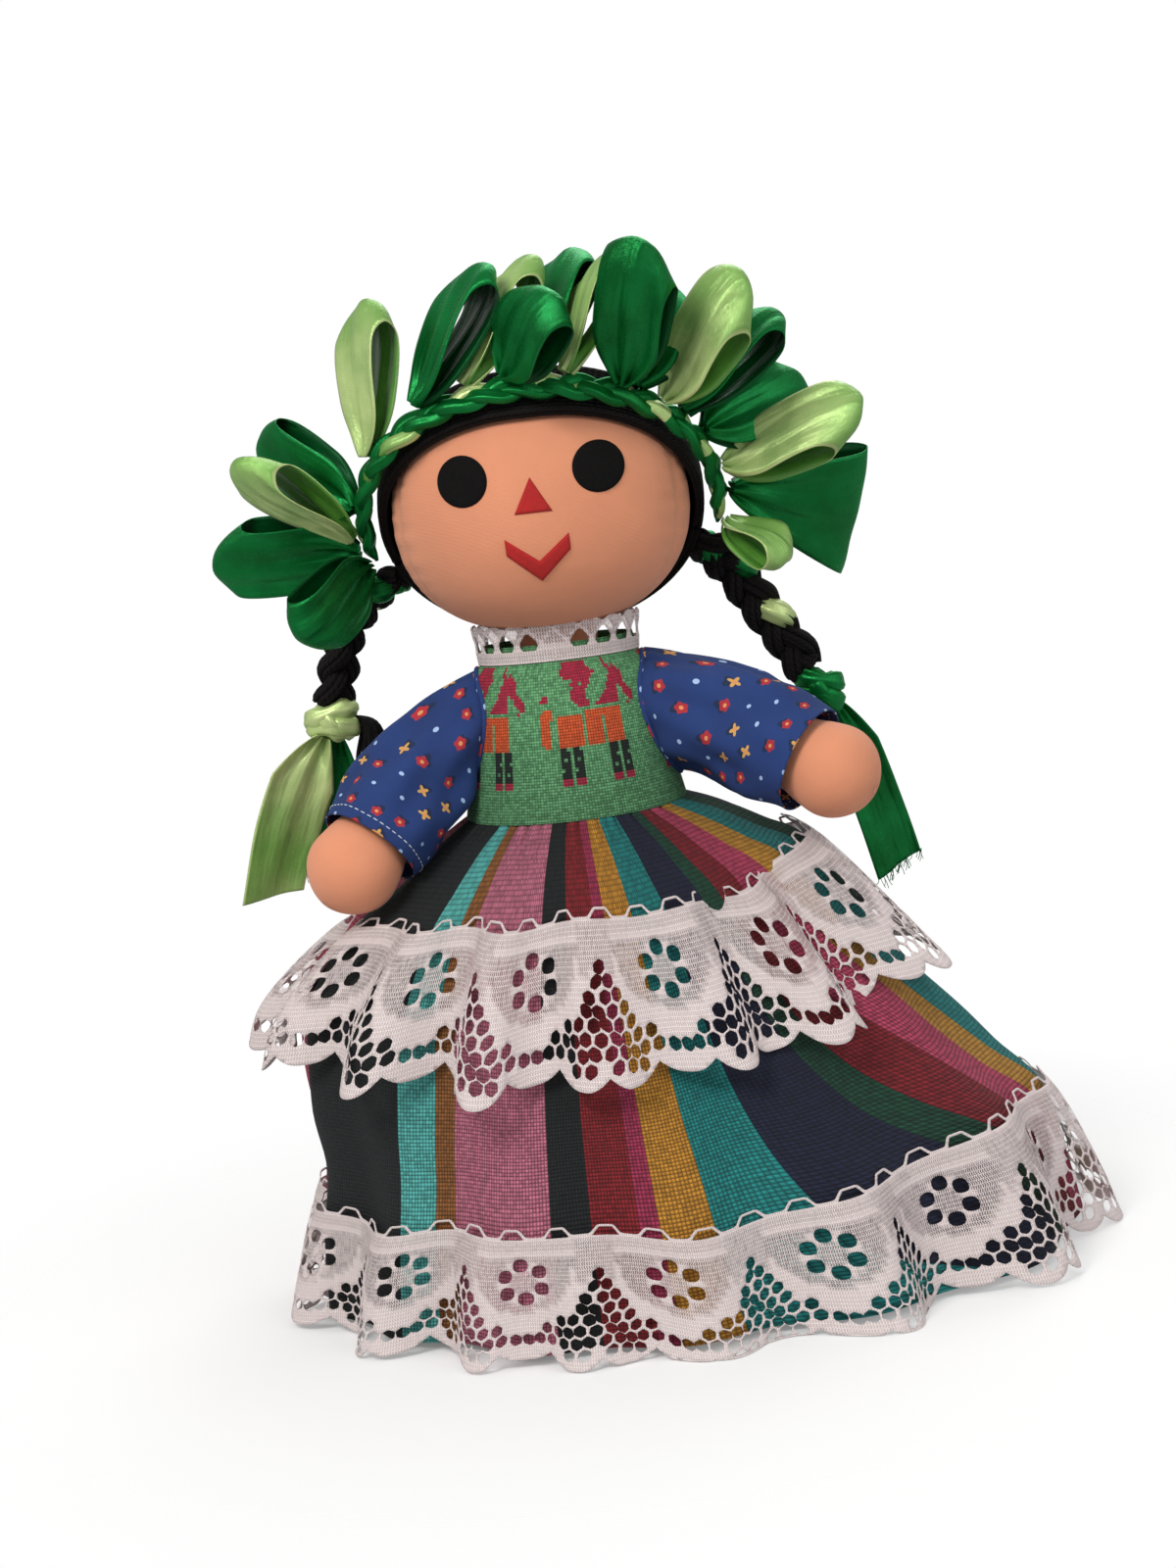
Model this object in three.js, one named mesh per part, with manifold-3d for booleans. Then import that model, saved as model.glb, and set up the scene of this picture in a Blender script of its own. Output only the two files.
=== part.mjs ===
// A cloth rag doll in a striped skirt, with a crown of satin ribbon loops.
// Millimetres, +Z up. The doll stands on the floor and faces -Y; its right side is -X.
import * as THREE from 'three';
import { mergeVertices } from 'three/addons/utils/BufferGeometryUtils.js';
import Module from 'manifold-3d';

const wasm = await Module();
wasm.setup();

// Clearances and cloth
const FIT = 0.35;
const CLOTH = 1.4;
const SKIRT_CLOTH = 2.0;
const LACE = 0.9;
const RIBBON = 0.9;
const RIBBON_WIDTH = 25;
const CURLED_RIBBON_WIDTH = 20;
const FOLDED_RIBBON_WIDTH = 17;
const LOOP_FOOT_WIDTH = 2.6;
const LOOP_CLEARANCE = 0.5;

// Head, a stuffed ball that is a little wider than tall
const HEAD_HALF_WIDTH = 54;
const HEAD_HALF_DEPTH = 50;
const HEAD_HALF_HEIGHT = 45;
const HEAD_HEIGHT = 277;
const HEAD_FULLNESS = 2.25;
const FELT = 0.9;
const EYE_SPACING = 46.8;
const EYE_HEIGHT = 290;
const EYE_RADIUS = 8.8;
const NOSE_WIDTH = 13;
const NOSE_LENGTH = 12;
const NOSE_TIP_HEIGHT = 289;
const MOUTH_WIDTH = 22;
const MOUTH_HEIGHT = 269;
const MOUTH_DROP = 15.5;
const MOUTH_BAND = 7;

// Neck, with a round top that the head turns and nods on
const NECK_RADIUS = 13;
const NECK_BALL_RADIUS = 15;
const NECK_BALL_HEIGHT = 229;
const NECK_SEAT_DEPTH = 12;

// Trunk and bodice: height, half width and half depth of the bodice from the neckline down
const BODICE_TOP = 223;
const BODICE_BOTTOM = 168.5;
const SHOULDER_HALF_WIDTH = 31;
const WAIST_HALF_WIDTH = 39.5;
const WAIST_HALF_DEPTH = 37;
const BODICE_DEPTH_AT_SHOULDER = 22;
const NECKLINE_INSET = 3;
const NECKLINE_HEM = 5;
const COLLAR_HEIGHT = 8.5;
const COLLAR_FLARE = 1.2;

// Arms
const SHOULDER_OFFSET = 38;
const SHOULDER_HEIGHT = 206;
const SHOULDER_BALL_RADIUS = 12;
const ARMPIT_RADIUS = 10;
const UPPER_ARM_RADIUS = 14;
const WRIST_RADIUS = 14.5;
const HAND_RADIUS = 17.5;
const ARM_LENGTH = 86;
const SLEEVE_LENGTH = 59;
const SLEEVE_TOP_RADIUS = 18;
const SLEEVE_RADIUS = 20.5;
const ARMHOLE_SEAM = 0.9;
const ARMHOLE_ANGLE = 61;
const RIGHT_ARM_DOWN = 48;
const RIGHT_ARM_FORWARD = 28;
const LEFT_ARM_DOWN = 29;
const LEFT_ARM_FORWARD = 26;

// Legs and shoes, hidden by the skirt
const HIP_OFFSET = 19;
const HIP_HEIGHT = 146;
const HIP_BALL_RADIUS = 14;
const TRUNK_BOTTOM = HIP_HEIGHT + 4;
const CALF_RADIUS = 13;
const ANKLE_RADIUS = 10.5;
const ANKLE_HEIGHT = 16;
const SHOE_LENGTH = 46;
const SHOE_WIDTH = 27;
const SHOE_TOP = 30;
const SOLE_EDGE = 3;

// Skirt: how far the hem reaches each way, and the share of flare and drop at each row
const HEM_HEIGHT = 2.5;
const HEM_RIGHT = 109;
const HEM_FRONT = 109;
const HEM_LEFT = 163;
const HEM_BACK = 112;
const SKIRT_SEGMENTS = 56;
const FOLD_COUNT = 14;
const FOLD_DEPTH = 5;
const LACE_TOP_ROW = 3;
const LACE_BOTTOM_ROW = 5;
const HEM_LACE_ROW = 8;
const LACE_STAND_OFF = 6;
const HEM_LACE_STAND_OFF = 5;

// Hair, crown braid and side braids
const HAIR = 4.5;
const HAIRLINE_TILT = 49.3;
const HAIRLINE_DROP = 7.8;
const CROWN_RADIUS = 5;
const CROWN_SET_BACK = 5;
const CROWN_SWELLS = 13;
const PLAIT_SWELL = 0.09;
const CROWN_REACH = 102;
const BRAID_RADIUS = 9.5;
const BRAID_TOP_RADIUS = 5;
const BRAID_ANGLE = 113;
const BRAID_SWELLS = 5;
const KNOT_RADIUS = 10;

const at = (x, y, z) => new THREE.Vector3(x, y, z);
const degrees = THREE.MathUtils.degToRad;

// A closed body from rings of points: the ends are capped, or the last ring joins the first
function loft(rings, endless = false) {
  const sides = rings[0].length;
  const points = rings.flat();
  const faces = [];
  const spans = endless ? rings.length : rings.length - 1;
  for (let row = 0; row < spans; row++) {
    const below = ((row + 1) % rings.length) * sides;
    for (let side = 0; side < sides; side++) {
      const next = (side + 1) % sides;
      const a = row * sides + side;
      const b = row * sides + next;
      faces.push(a, below + side, below + next, a, below + next, b);
    }
  }
  if (!endless) {
    for (const end of [0, rings.length - 1]) {
      const middle = new THREE.Vector3();
      rings[end].forEach((point) => middle.addScaledVector(point, 1 / sides));
      const tip = points.push(middle) - 1;
      for (let side = 0; side < sides; side++) {
        const a = end * sides + side;
        const b = end * sides + ((side + 1) % sides);
        faces.push(...(end === 0 ? [a, b, tip] : [b, a, tip]));
      }
    }
  }
  let volume = 0;
  for (let i = 0; i < faces.length; i += 3) {
    const [a, b, c] = [points[faces[i]], points[faces[i + 1]], points[faces[i + 2]]];
    volume += a.dot(b.clone().cross(c));
  }
  const turned = volume < 0 ? faces.slice().reverse() : faces;
  const geometry = new THREE.BufferGeometry();
  geometry.setAttribute('position', new THREE.Float32BufferAttribute(points.flatMap((p) => [...p]), 3));
  geometry.setIndex(turned);
  return geometry;
}

// Booleans: a geometry as a solid, and a solid as a geometry
function solid(geometry) {
  const bare = geometry.clone();
  bare.deleteAttribute('normal');
  bare.deleteAttribute('uv');
  const merged = mergeVertices(bare, 1e-4);
  return new wasm.Manifold(new wasm.Mesh({
    numProp: 3,
    vertProperties: new Float32Array(merged.attributes.position.array),
    triVerts: new Uint32Array(merged.index.array),
  }));
}

function shaped(manifold) {
  const mesh = manifold.getMesh();
  const geometry = new THREE.BufferGeometry();
  geometry.setAttribute('position', new THREE.Float32BufferAttribute(mesh.vertProperties, 3));
  geometry.setIndex([...mesh.triVerts]);
  return geometry;
}

function ovalRing(height, halfWidth, halfDepth, sides) {
  return Array.from({ length: sides }, (_, i) => {
    const turn = (i / sides) * 2 * Math.PI;
    return at(halfWidth * Math.cos(turn), halfDepth * Math.sin(turn), height);
  });
}

// A round body along a path: each stop is [share of the path, radius]
function limb(path, stops, sides) {
  const rings = stops.map(([share, radius]) => {
    const centre = path.getPoint(share);
    const along = path.getTangent(share);
    const across = Math.abs(along.y) < 0.9 ? at(0, 1, 0) : at(1, 0, 0);
    const side = across.clone().cross(along).normalize();
    const up = along.clone().cross(side);
    return Array.from({ length: sides }, (_, i) => {
      const turn = (i / sides) * 2 * Math.PI;
      return centre.clone()
        .addScaledVector(side, radius * Math.cos(turn))
        .addScaledVector(up, radius * Math.sin(turn));
    });
  });
  return loft(rings);
}

function ball(centre, radius, sides = 16, rows = 8) {
  const rings = [];
  for (let row = 0; row < rows; row++) {
    const tilt = ((row + 0.5) / rows) * Math.PI;
    const ring = ovalRing(radius * Math.cos(tilt), radius * Math.sin(tilt), radius * Math.sin(tilt), sides);
    rings.push(ring.map((point) => point.add(centre)));
  }
  return loft(rings);
}

// A seam roll round an axis along X, set in towards the trunk on a ball round the centre
function seamRing(centre, ballRadius, thickness, sides = 16) {
  const radius = ballRadius * Math.sin(degrees(ARMHOLE_ANGLE));
  const inward = at(-Math.sign(centre.x) * ballRadius * Math.cos(degrees(ARMHOLE_ANGLE)), 0, 0);
  const rings = Array.from({ length: sides }, (_, i) => {
    const turn = (i / sides) * 2 * Math.PI;
    const outward = at(0, Math.cos(turn), Math.sin(turn));
    return Array.from({ length: 5 }, (_unused, k) => {
      const roll = (k / 5) * 2 * Math.PI;
      return centre.clone()
        .add(inward)
        .addScaledVector(outward, radius + thickness * Math.cos(roll))
        .add(at(thickness * Math.sin(roll), 0, 0));
    });
  });
  return loft(rings, true);
}

// Flat ribbon or tape along a list of points, each with its width; across is the width's direction
function band(points, widths, acrossOf, thickness = RIBBON) {
  const last = points.length - 1;
  const rings = points.map((point, i) => {
    const along = points[Math.min(i + 1, last)].clone().sub(points[Math.max(i - 1, 0)]).normalize();
    const across = acrossOf(i / last).clone();
    across.addScaledVector(along, -across.dot(along)).normalize();
    const face = along.clone().cross(across);
    const [half, thin] = [widths(i / last) / 2, thickness / 2];
    return [[1, 1], [1, -1], [-1, -1], [-1, 1]].map(([u, v]) => point.clone()
      .addScaledVector(across, u * half)
      .addScaledVector(face, v * thin));
  });
  return loft(rings);
}

// Groups that turn together, and the pieces in them
function pivot(name, place, parent) {
  const group = new THREE.Group();
  group.name = name;
  group.userData.at = place.clone();
  group.position.copy(place).sub(parent.userData.at);
  parent.add(group);
  return group;
}

function piece(name, geometry, look, body) {
  const home = body.userData.at;
  const own = geometry.clone().translate(-home.x, -home.y, -home.z);
  own.computeVertexNormals();
  const mesh = new THREE.Mesh(own, look);
  mesh.name = name;
  body.add(mesh);
}

const look = (color, roughness) => new THREE.MeshStandardMaterial({ color, roughness, metalness: 0 });
const SKIN = look(0xe8a27c, 0.85);
const BLACK_FELT = look(0x17120f, 0.95);
const RED_FELT = look(0xb3211c, 0.9);
const YARN = look(0x15110f, 0.95);
const DARK_SATIN = look(0x0c7a35, 0.35);
const LIGHT_SATIN = look(0xa6cf6b, 0.35);
const WOVEN_GREEN = look(0x4d9c58, 0.9);
const CALICO = look(0x1f3c86, 0.85);
const STRIPES = look(0x7c3f52, 0.9);
const WHITE_LACE = look(0xf2e8e8, 0.8);
const SHOE_FELT = look(0x1b1a1c, 0.9);

const doll = new THREE.Group();
doll.userData.at = at(0, 0, 0);

// Head shape: a direction from its middle, and how far the offset surface is that way
const headMiddle = at(0, 0, HEAD_HEIGHT);
const HEAD_SIDES = 26;
const HEAD_ROWS = 13;

function headReach(direction, offset) {
  const flat = Math.hypot(
    direction.x / (HEAD_HALF_WIDTH + offset),
    direction.y / (HEAD_HALF_DEPTH + offset),
  );
  const tall = Math.abs(direction.z) / (HEAD_HALF_HEIGHT + offset);
  return (flat ** HEAD_FULLNESS + tall ** HEAD_FULLNESS) ** (-1 / HEAD_FULLNESS);
}

function headBall(offset, sides, rows) {
  const rings = [];
  for (let row = 0; row < rows; row++) {
    const tilt = ((row + 0.5) / rows) * Math.PI;
    rings.push(Array.from({ length: sides }, (_, i) => {
      const turn = (i / sides) * 2 * Math.PI;
      const way = at(Math.sin(tilt) * Math.cos(turn), Math.sin(tilt) * Math.sin(turn), Math.cos(tilt));
      return way.clone().multiplyScalar(headReach(way, offset)).add(headMiddle);
    }));
  }
  return loft(rings);
}

// The neck stands in a seat in the trunk, and its ball sits in a hollow in the head
const neckPivot = at(0, 0, NECK_BALL_HEIGHT);
const neckBottom = BODICE_TOP - NECK_SEAT_DEPTH;

const NECK_SIDES = 18;
const NECK_STEPS = 7;
const NECK_CROWN_TILT = 0.12;

function neckPost(offset) {
  const rings = [];
  const waist = Math.asin(NECK_RADIUS / NECK_BALL_RADIUS);
  for (let step = 0; step <= NECK_STEPS; step++) {
    const tilt = NECK_CROWN_TILT + ((Math.PI - waist - NECK_CROWN_TILT) * step) / NECK_STEPS;
    const radius = NECK_BALL_RADIUS + offset;
    const height = NECK_BALL_HEIGHT + radius * Math.cos(tilt);
    rings.push(ovalRing(height, radius * Math.sin(tilt), radius * Math.sin(tilt), NECK_SIDES));
  }
  rings.push(ovalRing(neckBottom - offset, NECK_RADIUS + offset, NECK_RADIUS + offset, NECK_SIDES));
  return loft(rings);
}

// Bodice outline as height, half width, half depth
const necklineHalfWidth = SHOULDER_HALF_WIDTH - NECKLINE_INSET;
const necklineHalfDepth = BODICE_DEPTH_AT_SHOULDER - NECKLINE_INSET;
const BODICE = [
  [BODICE_TOP, necklineHalfWidth, necklineHalfDepth],
  [BODICE_TOP - 7, SHOULDER_HALF_WIDTH + 1.5, BODICE_DEPTH_AT_SHOULDER + 1],
  [BODICE_TOP - 22, SHOULDER_HALF_WIDTH + 3.5, BODICE_DEPTH_AT_SHOULDER + 7],
  [BODICE_BOTTOM + 16, WAIST_HALF_WIDTH - 3, WAIST_HALF_DEPTH - 4],
  [BODICE_BOTTOM, WAIST_HALF_WIDTH, WAIST_HALF_DEPTH],
];
const BODICE_SIDES = 24;

function bodiceRings(inset, extraTop = 0, extraBottom = 0) {
  return BODICE.map(([height, halfWidth, halfDepth], i) => {
    const grown = height + (i === 0 ? extraTop : 0) - (i === BODICE.length - 1 ? extraBottom : 0);
    return ovalRing(grown, halfWidth - inset, halfDepth - inset, BODICE_SIDES);
  });
}

const shoulder = {
  right: at(-SHOULDER_OFFSET, 0, SHOULDER_HEIGHT),
  left: at(SHOULDER_OFFSET, 0, SHOULDER_HEIGHT),
};
const hip = { right: at(-HIP_OFFSET, 0, HIP_HEIGHT), left: at(HIP_OFFSET, 0, HIP_HEIGHT) };

const armholeRadius = SHOULDER_BALL_RADIUS + 2 * ARMHOLE_SEAM + 3 * FIT;
const shoulderHollow = (side) => solid(ball(shoulder[side], armholeRadius));
const hipHollow = (side) => solid(ball(hip[side], HIP_BALL_RADIUS + 2 * FIT));

function trunk() {
  const inset = CLOTH + FIT;
  const hipWidth = WAIST_HALF_WIDTH - inset;
  const hipDepth = WAIST_HALF_DEPTH - inset;
  const rings = [
    ovalRing(BODICE_TOP - CLOTH - FIT, SHOULDER_HALF_WIDTH - 9, BODICE_DEPTH_AT_SHOULDER - 8, BODICE_SIDES),
    ...bodiceRings(inset).slice(1),
    ovalRing(BODICE_BOTTOM - 8, hipWidth - 3, hipDepth - 5, BODICE_SIDES),
    ovalRing(TRUNK_BOTTOM + 3, hipWidth - 6, hipDepth - 10, BODICE_SIDES),
    ovalRing(TRUNK_BOTTOM, hipWidth - 11, hipDepth - 15, BODICE_SIDES),
  ];
  return shaped(solid(loft(rings))
    .subtract(solid(neckPost(FIT)))
    .subtract(shoulderHollow('right'))
    .subtract(shoulderHollow('left'))
    .subtract(hipHollow('right'))
    .subtract(hipHollow('left')));
}

function bodice() {
  const [halfWidth, halfDepth] = [necklineHalfWidth - NECKLINE_HEM, necklineHalfDepth - NECKLINE_HEM];
  const neckline = ovalRing(BODICE_TOP, halfWidth, halfDepth, BODICE_SIDES);
  const inner = bodiceRings(CLOTH);
  inner[0] = neckline.map((point) => point.clone().add(at(0, 0, -CLOTH)));
  return shaped(solid(loft([neckline, ...bodiceRings(0), ...inner.reverse()], true))
    .subtract(shoulderHollow('right'))
    .subtract(shoulderHollow('left')));
}

function collar() {
  const rings = [];
  const foot = BODICE_TOP + FIT;
  for (const [rise, skin] of [[0, 0], [0.5, 0], [1, 0], [1, LACE], [0.5, LACE], [0, LACE]]) {
    const spread = rise * COLLAR_FLARE - skin;
    const [halfWidth, halfDepth] = [necklineHalfWidth + spread, necklineHalfDepth + spread];
    rings.push(ovalRing(foot + rise * COLLAR_HEIGHT, halfWidth, halfDepth, BODICE_SIDES));
  }
  return loft(rings, true);
}

// Skirt rows from the waist to the hem as [share of flare, share of drop], one outline each way
const FLARE = {
  left: [[0, 0], [0.11, 0.03], [0.215, 0.073], [0.32, 0.125], [0.465, 0.29], [0.55, 0.39],
    [0.67, 0.5], [0.8, 0.615], [0.91, 0.715], [0.97, 0.87], [1, 1]],
  front: [[0, 0], [0.125, 0.05], [0.265, 0.11], [0.43, 0.205], [0.61, 0.38], [0.68, 0.48],
    [0.765, 0.58], [0.835, 0.675], [0.905, 0.785], [0.96, 0.9], [1, 1]],
  right: [[0, 0], [0.19, 0.05], [0.4, 0.12], [0.66, 0.19], [0.935, 0.32], [0.99, 0.42],
    [0.985, 0.55], [0.94, 0.675], [0.955, 0.785], [0.985, 0.9], [1, 1]],
  back: [[0, 0], [0.135, 0.05], [0.28, 0.1], [0.44, 0.18], [0.615, 0.37], [0.68, 0.47],
    [0.76, 0.58], [0.84, 0.69], [0.905, 0.785], [0.96, 0.9], [1, 1]],
};
const ROWS = FLARE.front.length;
const skirtTop = BODICE_BOTTOM - FIT;

function foldAt(turn, row) {
  const share = row / (ROWS - 1);
  const depth = FOLD_DEPTH * (0.12 + 0.88 * share ** 0.8);
  const fine = Math.cos(FOLD_COUNT * turn + 0.9 * Math.sin(2 * turn) + 0.5);
  const broad = Math.cos(5 * turn + 1.3);
  return depth * (0.62 * fine + 0.38 * broad);
}

function skirtPoint(turn, row, offset, lift = 0) {
  const [across, along] = [Math.cos(turn), Math.sin(turn)];
  const ways = [
    [Math.max(across, 0) ** 2, FLARE.left, WAIST_HALF_WIDTH, HEM_LEFT],
    [Math.max(-across, 0) ** 2, FLARE.right, WAIST_HALF_WIDTH, HEM_RIGHT],
    [Math.max(-along, 0) ** 2, FLARE.front, WAIST_HALF_DEPTH, HEM_FRONT],
    [Math.max(along, 0) ** 2, FLARE.back, WAIST_HALF_DEPTH, HEM_BACK],
  ];
  const low = Math.min(Math.floor(row), ROWS - 2);
  const share = row - low;
  let radius = 0;
  let drop = 0;
  for (const [weight, outline, waist, hem] of ways) {
    const flare = outline[low][0] + (outline[low + 1][0] - outline[low][0]) * share;
    radius += weight * (waist + (hem - waist) * flare);
    drop += weight * (outline[low][1] + (outline[low + 1][1] - outline[low][1]) * share);
  }
  radius += foldAt(turn, row) + offset;
  const height = skirtTop - (skirtTop - HEM_HEIGHT) * drop + lift;
  return at(radius * across, radius * along, height);
}

const turns = Array.from({ length: SKIRT_SEGMENTS }, (_, i) => (i / SKIRT_SEGMENTS) * 2 * Math.PI);
const skirtRing = (row, offset, lift = 0) => turns.map((turn) => skirtPoint(turn, row, offset, lift));

function skirt() {
  const rings = [];
  for (let row = 0; row < ROWS; row++) rings.push(skirtRing(row, 0));
  for (let row = ROWS - 1; row >= 0; row--) {
    const inward = row === 0 ? CLOTH : SKIRT_CLOTH;
    rings.push(skirtRing(row, -inward));
  }
  return loft(rings, true);
}

function ruffle(fromRow, toRow, steps, standOff, dropBelow, waves) {
  const rings = [];
  const gap = FIT * 2;
  const ring = (step, skin) => {
    const share = step / steps;
    const row = fromRow + (toRow - fromRow) * share;
    const away = gap + skin + standOff * share;
    return turns.map((turn) => {
      const wave = standOff * share * 0.5 * (1 + Math.sin(waves * turn + 0.7));
      return skirtPoint(turn, row, away + wave, -dropBelow * share);
    });
  };
  for (let step = 0; step <= steps; step++) rings.push(ring(step, LACE));
  for (let step = steps; step >= 0; step--) rings.push(ring(step, 0));
  return loft(rings, true);
}

// An arm points out, forward and down from its shoulder, and the sleeve goes round it
const ARM_STOPS = [
  [-SHOULDER_BALL_RADIUS * 0.98, 2.2], [-SHOULDER_BALL_RADIUS * 0.8, SHOULDER_BALL_RADIUS * 0.6],
  [-SHOULDER_BALL_RADIUS * 0.4, SHOULDER_BALL_RADIUS * 0.916], [0, SHOULDER_BALL_RADIUS],
  [SHOULDER_BALL_RADIUS * 0.5, SHOULDER_BALL_RADIUS * 0.866],
  [SHOULDER_BALL_RADIUS + 3, ARMPIT_RADIUS], [26, UPPER_ARM_RADIUS], [40, UPPER_ARM_RADIUS + 0.5],
  [SLEEVE_LENGTH - 5, WRIST_RADIUS], [SLEEVE_LENGTH + 3, HAND_RADIUS * 0.93],
  [SLEEVE_LENGTH + 10, HAND_RADIUS], [ARM_LENGTH - 8, HAND_RADIUS * 0.83],
  [ARM_LENGTH - 2.5, HAND_RADIUS * 0.5], [ARM_LENGTH, HAND_RADIUS * 0.12],
];

function armWay(side) {
  const down = degrees(side === 'right' ? RIGHT_ARM_DOWN : LEFT_ARM_DOWN);
  const forward = degrees(side === 'right' ? RIGHT_ARM_FORWARD : LEFT_ARM_FORWARD);
  const out = side === 'right' ? -1 : 1;
  const level = Math.cos(forward);
  return at(out * Math.cos(down) * level, -Math.sin(forward), -Math.sin(down) * level);
}

function alongArm(side, stops, sides) {
  const way = armWay(side);
  const [first, last] = [stops[0][0], stops[stops.length - 1][0]];
  const start = shoulder[side].clone().addScaledVector(way, first);
  const end = shoulder[side].clone().addScaledVector(way, last);
  const shares = stops.map(([distance, radius]) => [(distance - first) / (last - first), radius]);
  return limb(new THREE.LineCurve3(start, end), shares, sides);
}

const SLEEVE_STOPS = [
  [2, SLEEVE_TOP_RADIUS - 2], [10, SLEEVE_TOP_RADIUS], [26, SLEEVE_RADIUS],
  [SLEEVE_LENGTH - 8, SLEEVE_RADIUS], [SLEEVE_LENGTH, SLEEVE_RADIUS - 1.5],
];

const SLEEVE_SIDES = 16;
const BORE_OVERRUN = 20;

function sleeve(side) {
  const outer = solid(alongArm(side, SLEEVE_STOPS, SLEEVE_SIDES));
  const core = SLEEVE_STOPS.map(([distance, radius]) => [distance, radius - CLOTH]);
  core.unshift([-BORE_OVERRUN, core[0][1]]);
  core.push([SLEEVE_LENGTH + BORE_OVERRUN, core[core.length - 1][1]]);
  const bodiceBulk = solid(loft(bodiceRings(-FIT, FIT, FIT)));
  const seamRoom = solid(ball(shoulder[side], armholeRadius + FIT));
  const skirtBulk = solid(loft([0, 1, 2, 3, 4].map((row) => skirtRing(row, 2 * FIT))));
  return shaped(outer
    .subtract(solid(alongArm(side, core, SLEEVE_SIDES)))
    .subtract(bodiceBulk)
    .subtract(skirtBulk)
    .subtract(seamRoom));
}

// Legs hang from the trunk into shoes with flat soles
const LEG_STOPS = [
  [HIP_HEIGHT + HIP_BALL_RADIUS * 0.97, 3.4], [HIP_HEIGHT + HIP_BALL_RADIUS * 0.7, HIP_BALL_RADIUS * 0.714],
  [HIP_HEIGHT, HIP_BALL_RADIUS], [HIP_HEIGHT - 30, HIP_BALL_RADIUS + 1], [HIP_HEIGHT - 62, CALF_RADIUS - 1],
  [HIP_HEIGHT - 82, CALF_RADIUS + 0.5], [SHOE_TOP + 4, ANKLE_RADIUS], [ANKLE_HEIGHT + 3, ANKLE_RADIUS],
  [ANKLE_HEIGHT, ANKLE_RADIUS * 0.7],
];

function leg(side, grow = 0) {
  const rings = LEG_STOPS.map(([height, radius], i) => {
    const low = i === LEG_STOPS.length - 1 ? -grow : 0;
    return ovalRing(height + low, radius + grow, radius + grow, 14)
      .map((point) => point.add(at(hip[side].x, 0, 0)));
  });
  return loft(rings);
}

function shoe(side) {
  const rise = [[0, 0.9, 0], [SOLE_EDGE, 1, 0], [ANKLE_HEIGHT - 4, 0.94, 1], [ANKLE_HEIGHT + 4, 0.74, 7],
    [SHOE_TOP, 0.56, 11]];
  const rings = rise.map(([height, share, back]) => {
    const halfLength = (SHOE_LENGTH / 2) * share;
    const ring = ovalRing(height, (SHOE_WIDTH / 2) * Math.min(1, share + 0.08), halfLength, 16);
    return ring.map((point) => point.add(at(hip[side].x, back - SHOE_LENGTH * 0.24, 0)));
  });
  return shaped(solid(loft(rings)).subtract(solid(leg(side, FIT))));
}

// Felt shapes on the face: an outline seen from the front, cut from a thin skin over the head
const feltSkin = solid(headBall(FIT + FELT, 40, 20)).subtract(solid(headBall(FIT, 40, 20)));

function frontPrism(outline) {
  const front = outline.map(([x, z]) => at(x, -2 * HEAD_HALF_DEPTH, z));
  const back = outline.map(([x, z]) => at(x, -HEAD_HALF_DEPTH / 3, z));
  return solid(loft([front, back]));
}

const feltPatch = (outline) => shaped(frontPrism(outline).intersect(feltSkin));

const eyeOutline = (side) => Array.from({ length: 16 }, (_, i) => {
  const turn = (i / 16) * 2 * Math.PI;
  return [side * EYE_SPACING / 2 + EYE_RADIUS * Math.cos(turn), EYE_HEIGHT + EYE_RADIUS * Math.sin(turn)];
});
const noseOutline = [[0, NOSE_TIP_HEIGHT], [-NOSE_WIDTH / 2, NOSE_TIP_HEIGHT - NOSE_LENGTH],
  [0, NOSE_TIP_HEIGHT - NOSE_LENGTH], [NOSE_WIDTH / 2, NOSE_TIP_HEIGHT - NOSE_LENGTH]];

// The mouth is a V of two slanting bars that cross a little in the middle
function mouth() {
  const bar = (side) => {
    const [out, fall] = [side * MOUTH_WIDTH / 2, MOUTH_DROP - MOUTH_BAND];
    const past = -side * MOUTH_BAND * 0.12;
    return frontPrism([[past, MOUTH_HEIGHT - fall], [out, MOUTH_HEIGHT],
      [out, MOUTH_HEIGHT - MOUTH_BAND * 0.8], [past, MOUTH_HEIGHT - MOUTH_DROP]]);
  };
  return shaped(bar(1).add(bar(-1)).intersect(feltSkin));
}

// The hair is cut off along a tilted plane over the face, and the crown braid follows that plane
const hairlineNormal = at(0, Math.sin(degrees(HAIRLINE_TILT)), Math.cos(degrees(HAIRLINE_TILT)));
const hairlineUp = at(0, -Math.cos(degrees(HAIRLINE_TILT)), Math.sin(degrees(HAIRLINE_TILT)));

function crownPoint(angle, offset) {
  const middle = headMiddle.clone().addScaledVector(hairlineNormal, CROWN_SET_BACK - HAIRLINE_DROP);
  const turn = degrees(angle);
  const way = at(Math.sin(turn), 0, 0).addScaledVector(hairlineUp, Math.cos(turn));
  let [near, far] = [0, 2 * HEAD_HALF_WIDTH];
  for (let step = 0; step < 40; step++) {
    const half = (near + far) / 2;
    const reach = middle.clone().addScaledVector(way, half).sub(headMiddle);
    const inside = headReach(reach, offset) > 1;
    if (inside) near = half;
    else far = half;
  }
  return middle.addScaledVector(way, near);
}

function hairCap() {
  const shell = solid(headBall(HAIR, HEAD_SIDES, HEAD_ROWS))
    .subtract(solid(headBall(FIT, HEAD_SIDES, HEAD_ROWS)));
  const edge = headMiddle.clone().addScaledVector(hairlineNormal, -HAIRLINE_DROP);
  const trimmed = shell.trimByPlane([...hairlineNormal], hairlineNormal.dot(edge));
  return shaped(trimmed.subtract(solid(neckPost(4 * FIT + 2))));
}

function head() {
  return shaped(solid(headBall(0, HEAD_SIDES, HEAD_ROWS)).subtract(solid(neckPost(FIT))));
}

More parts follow.
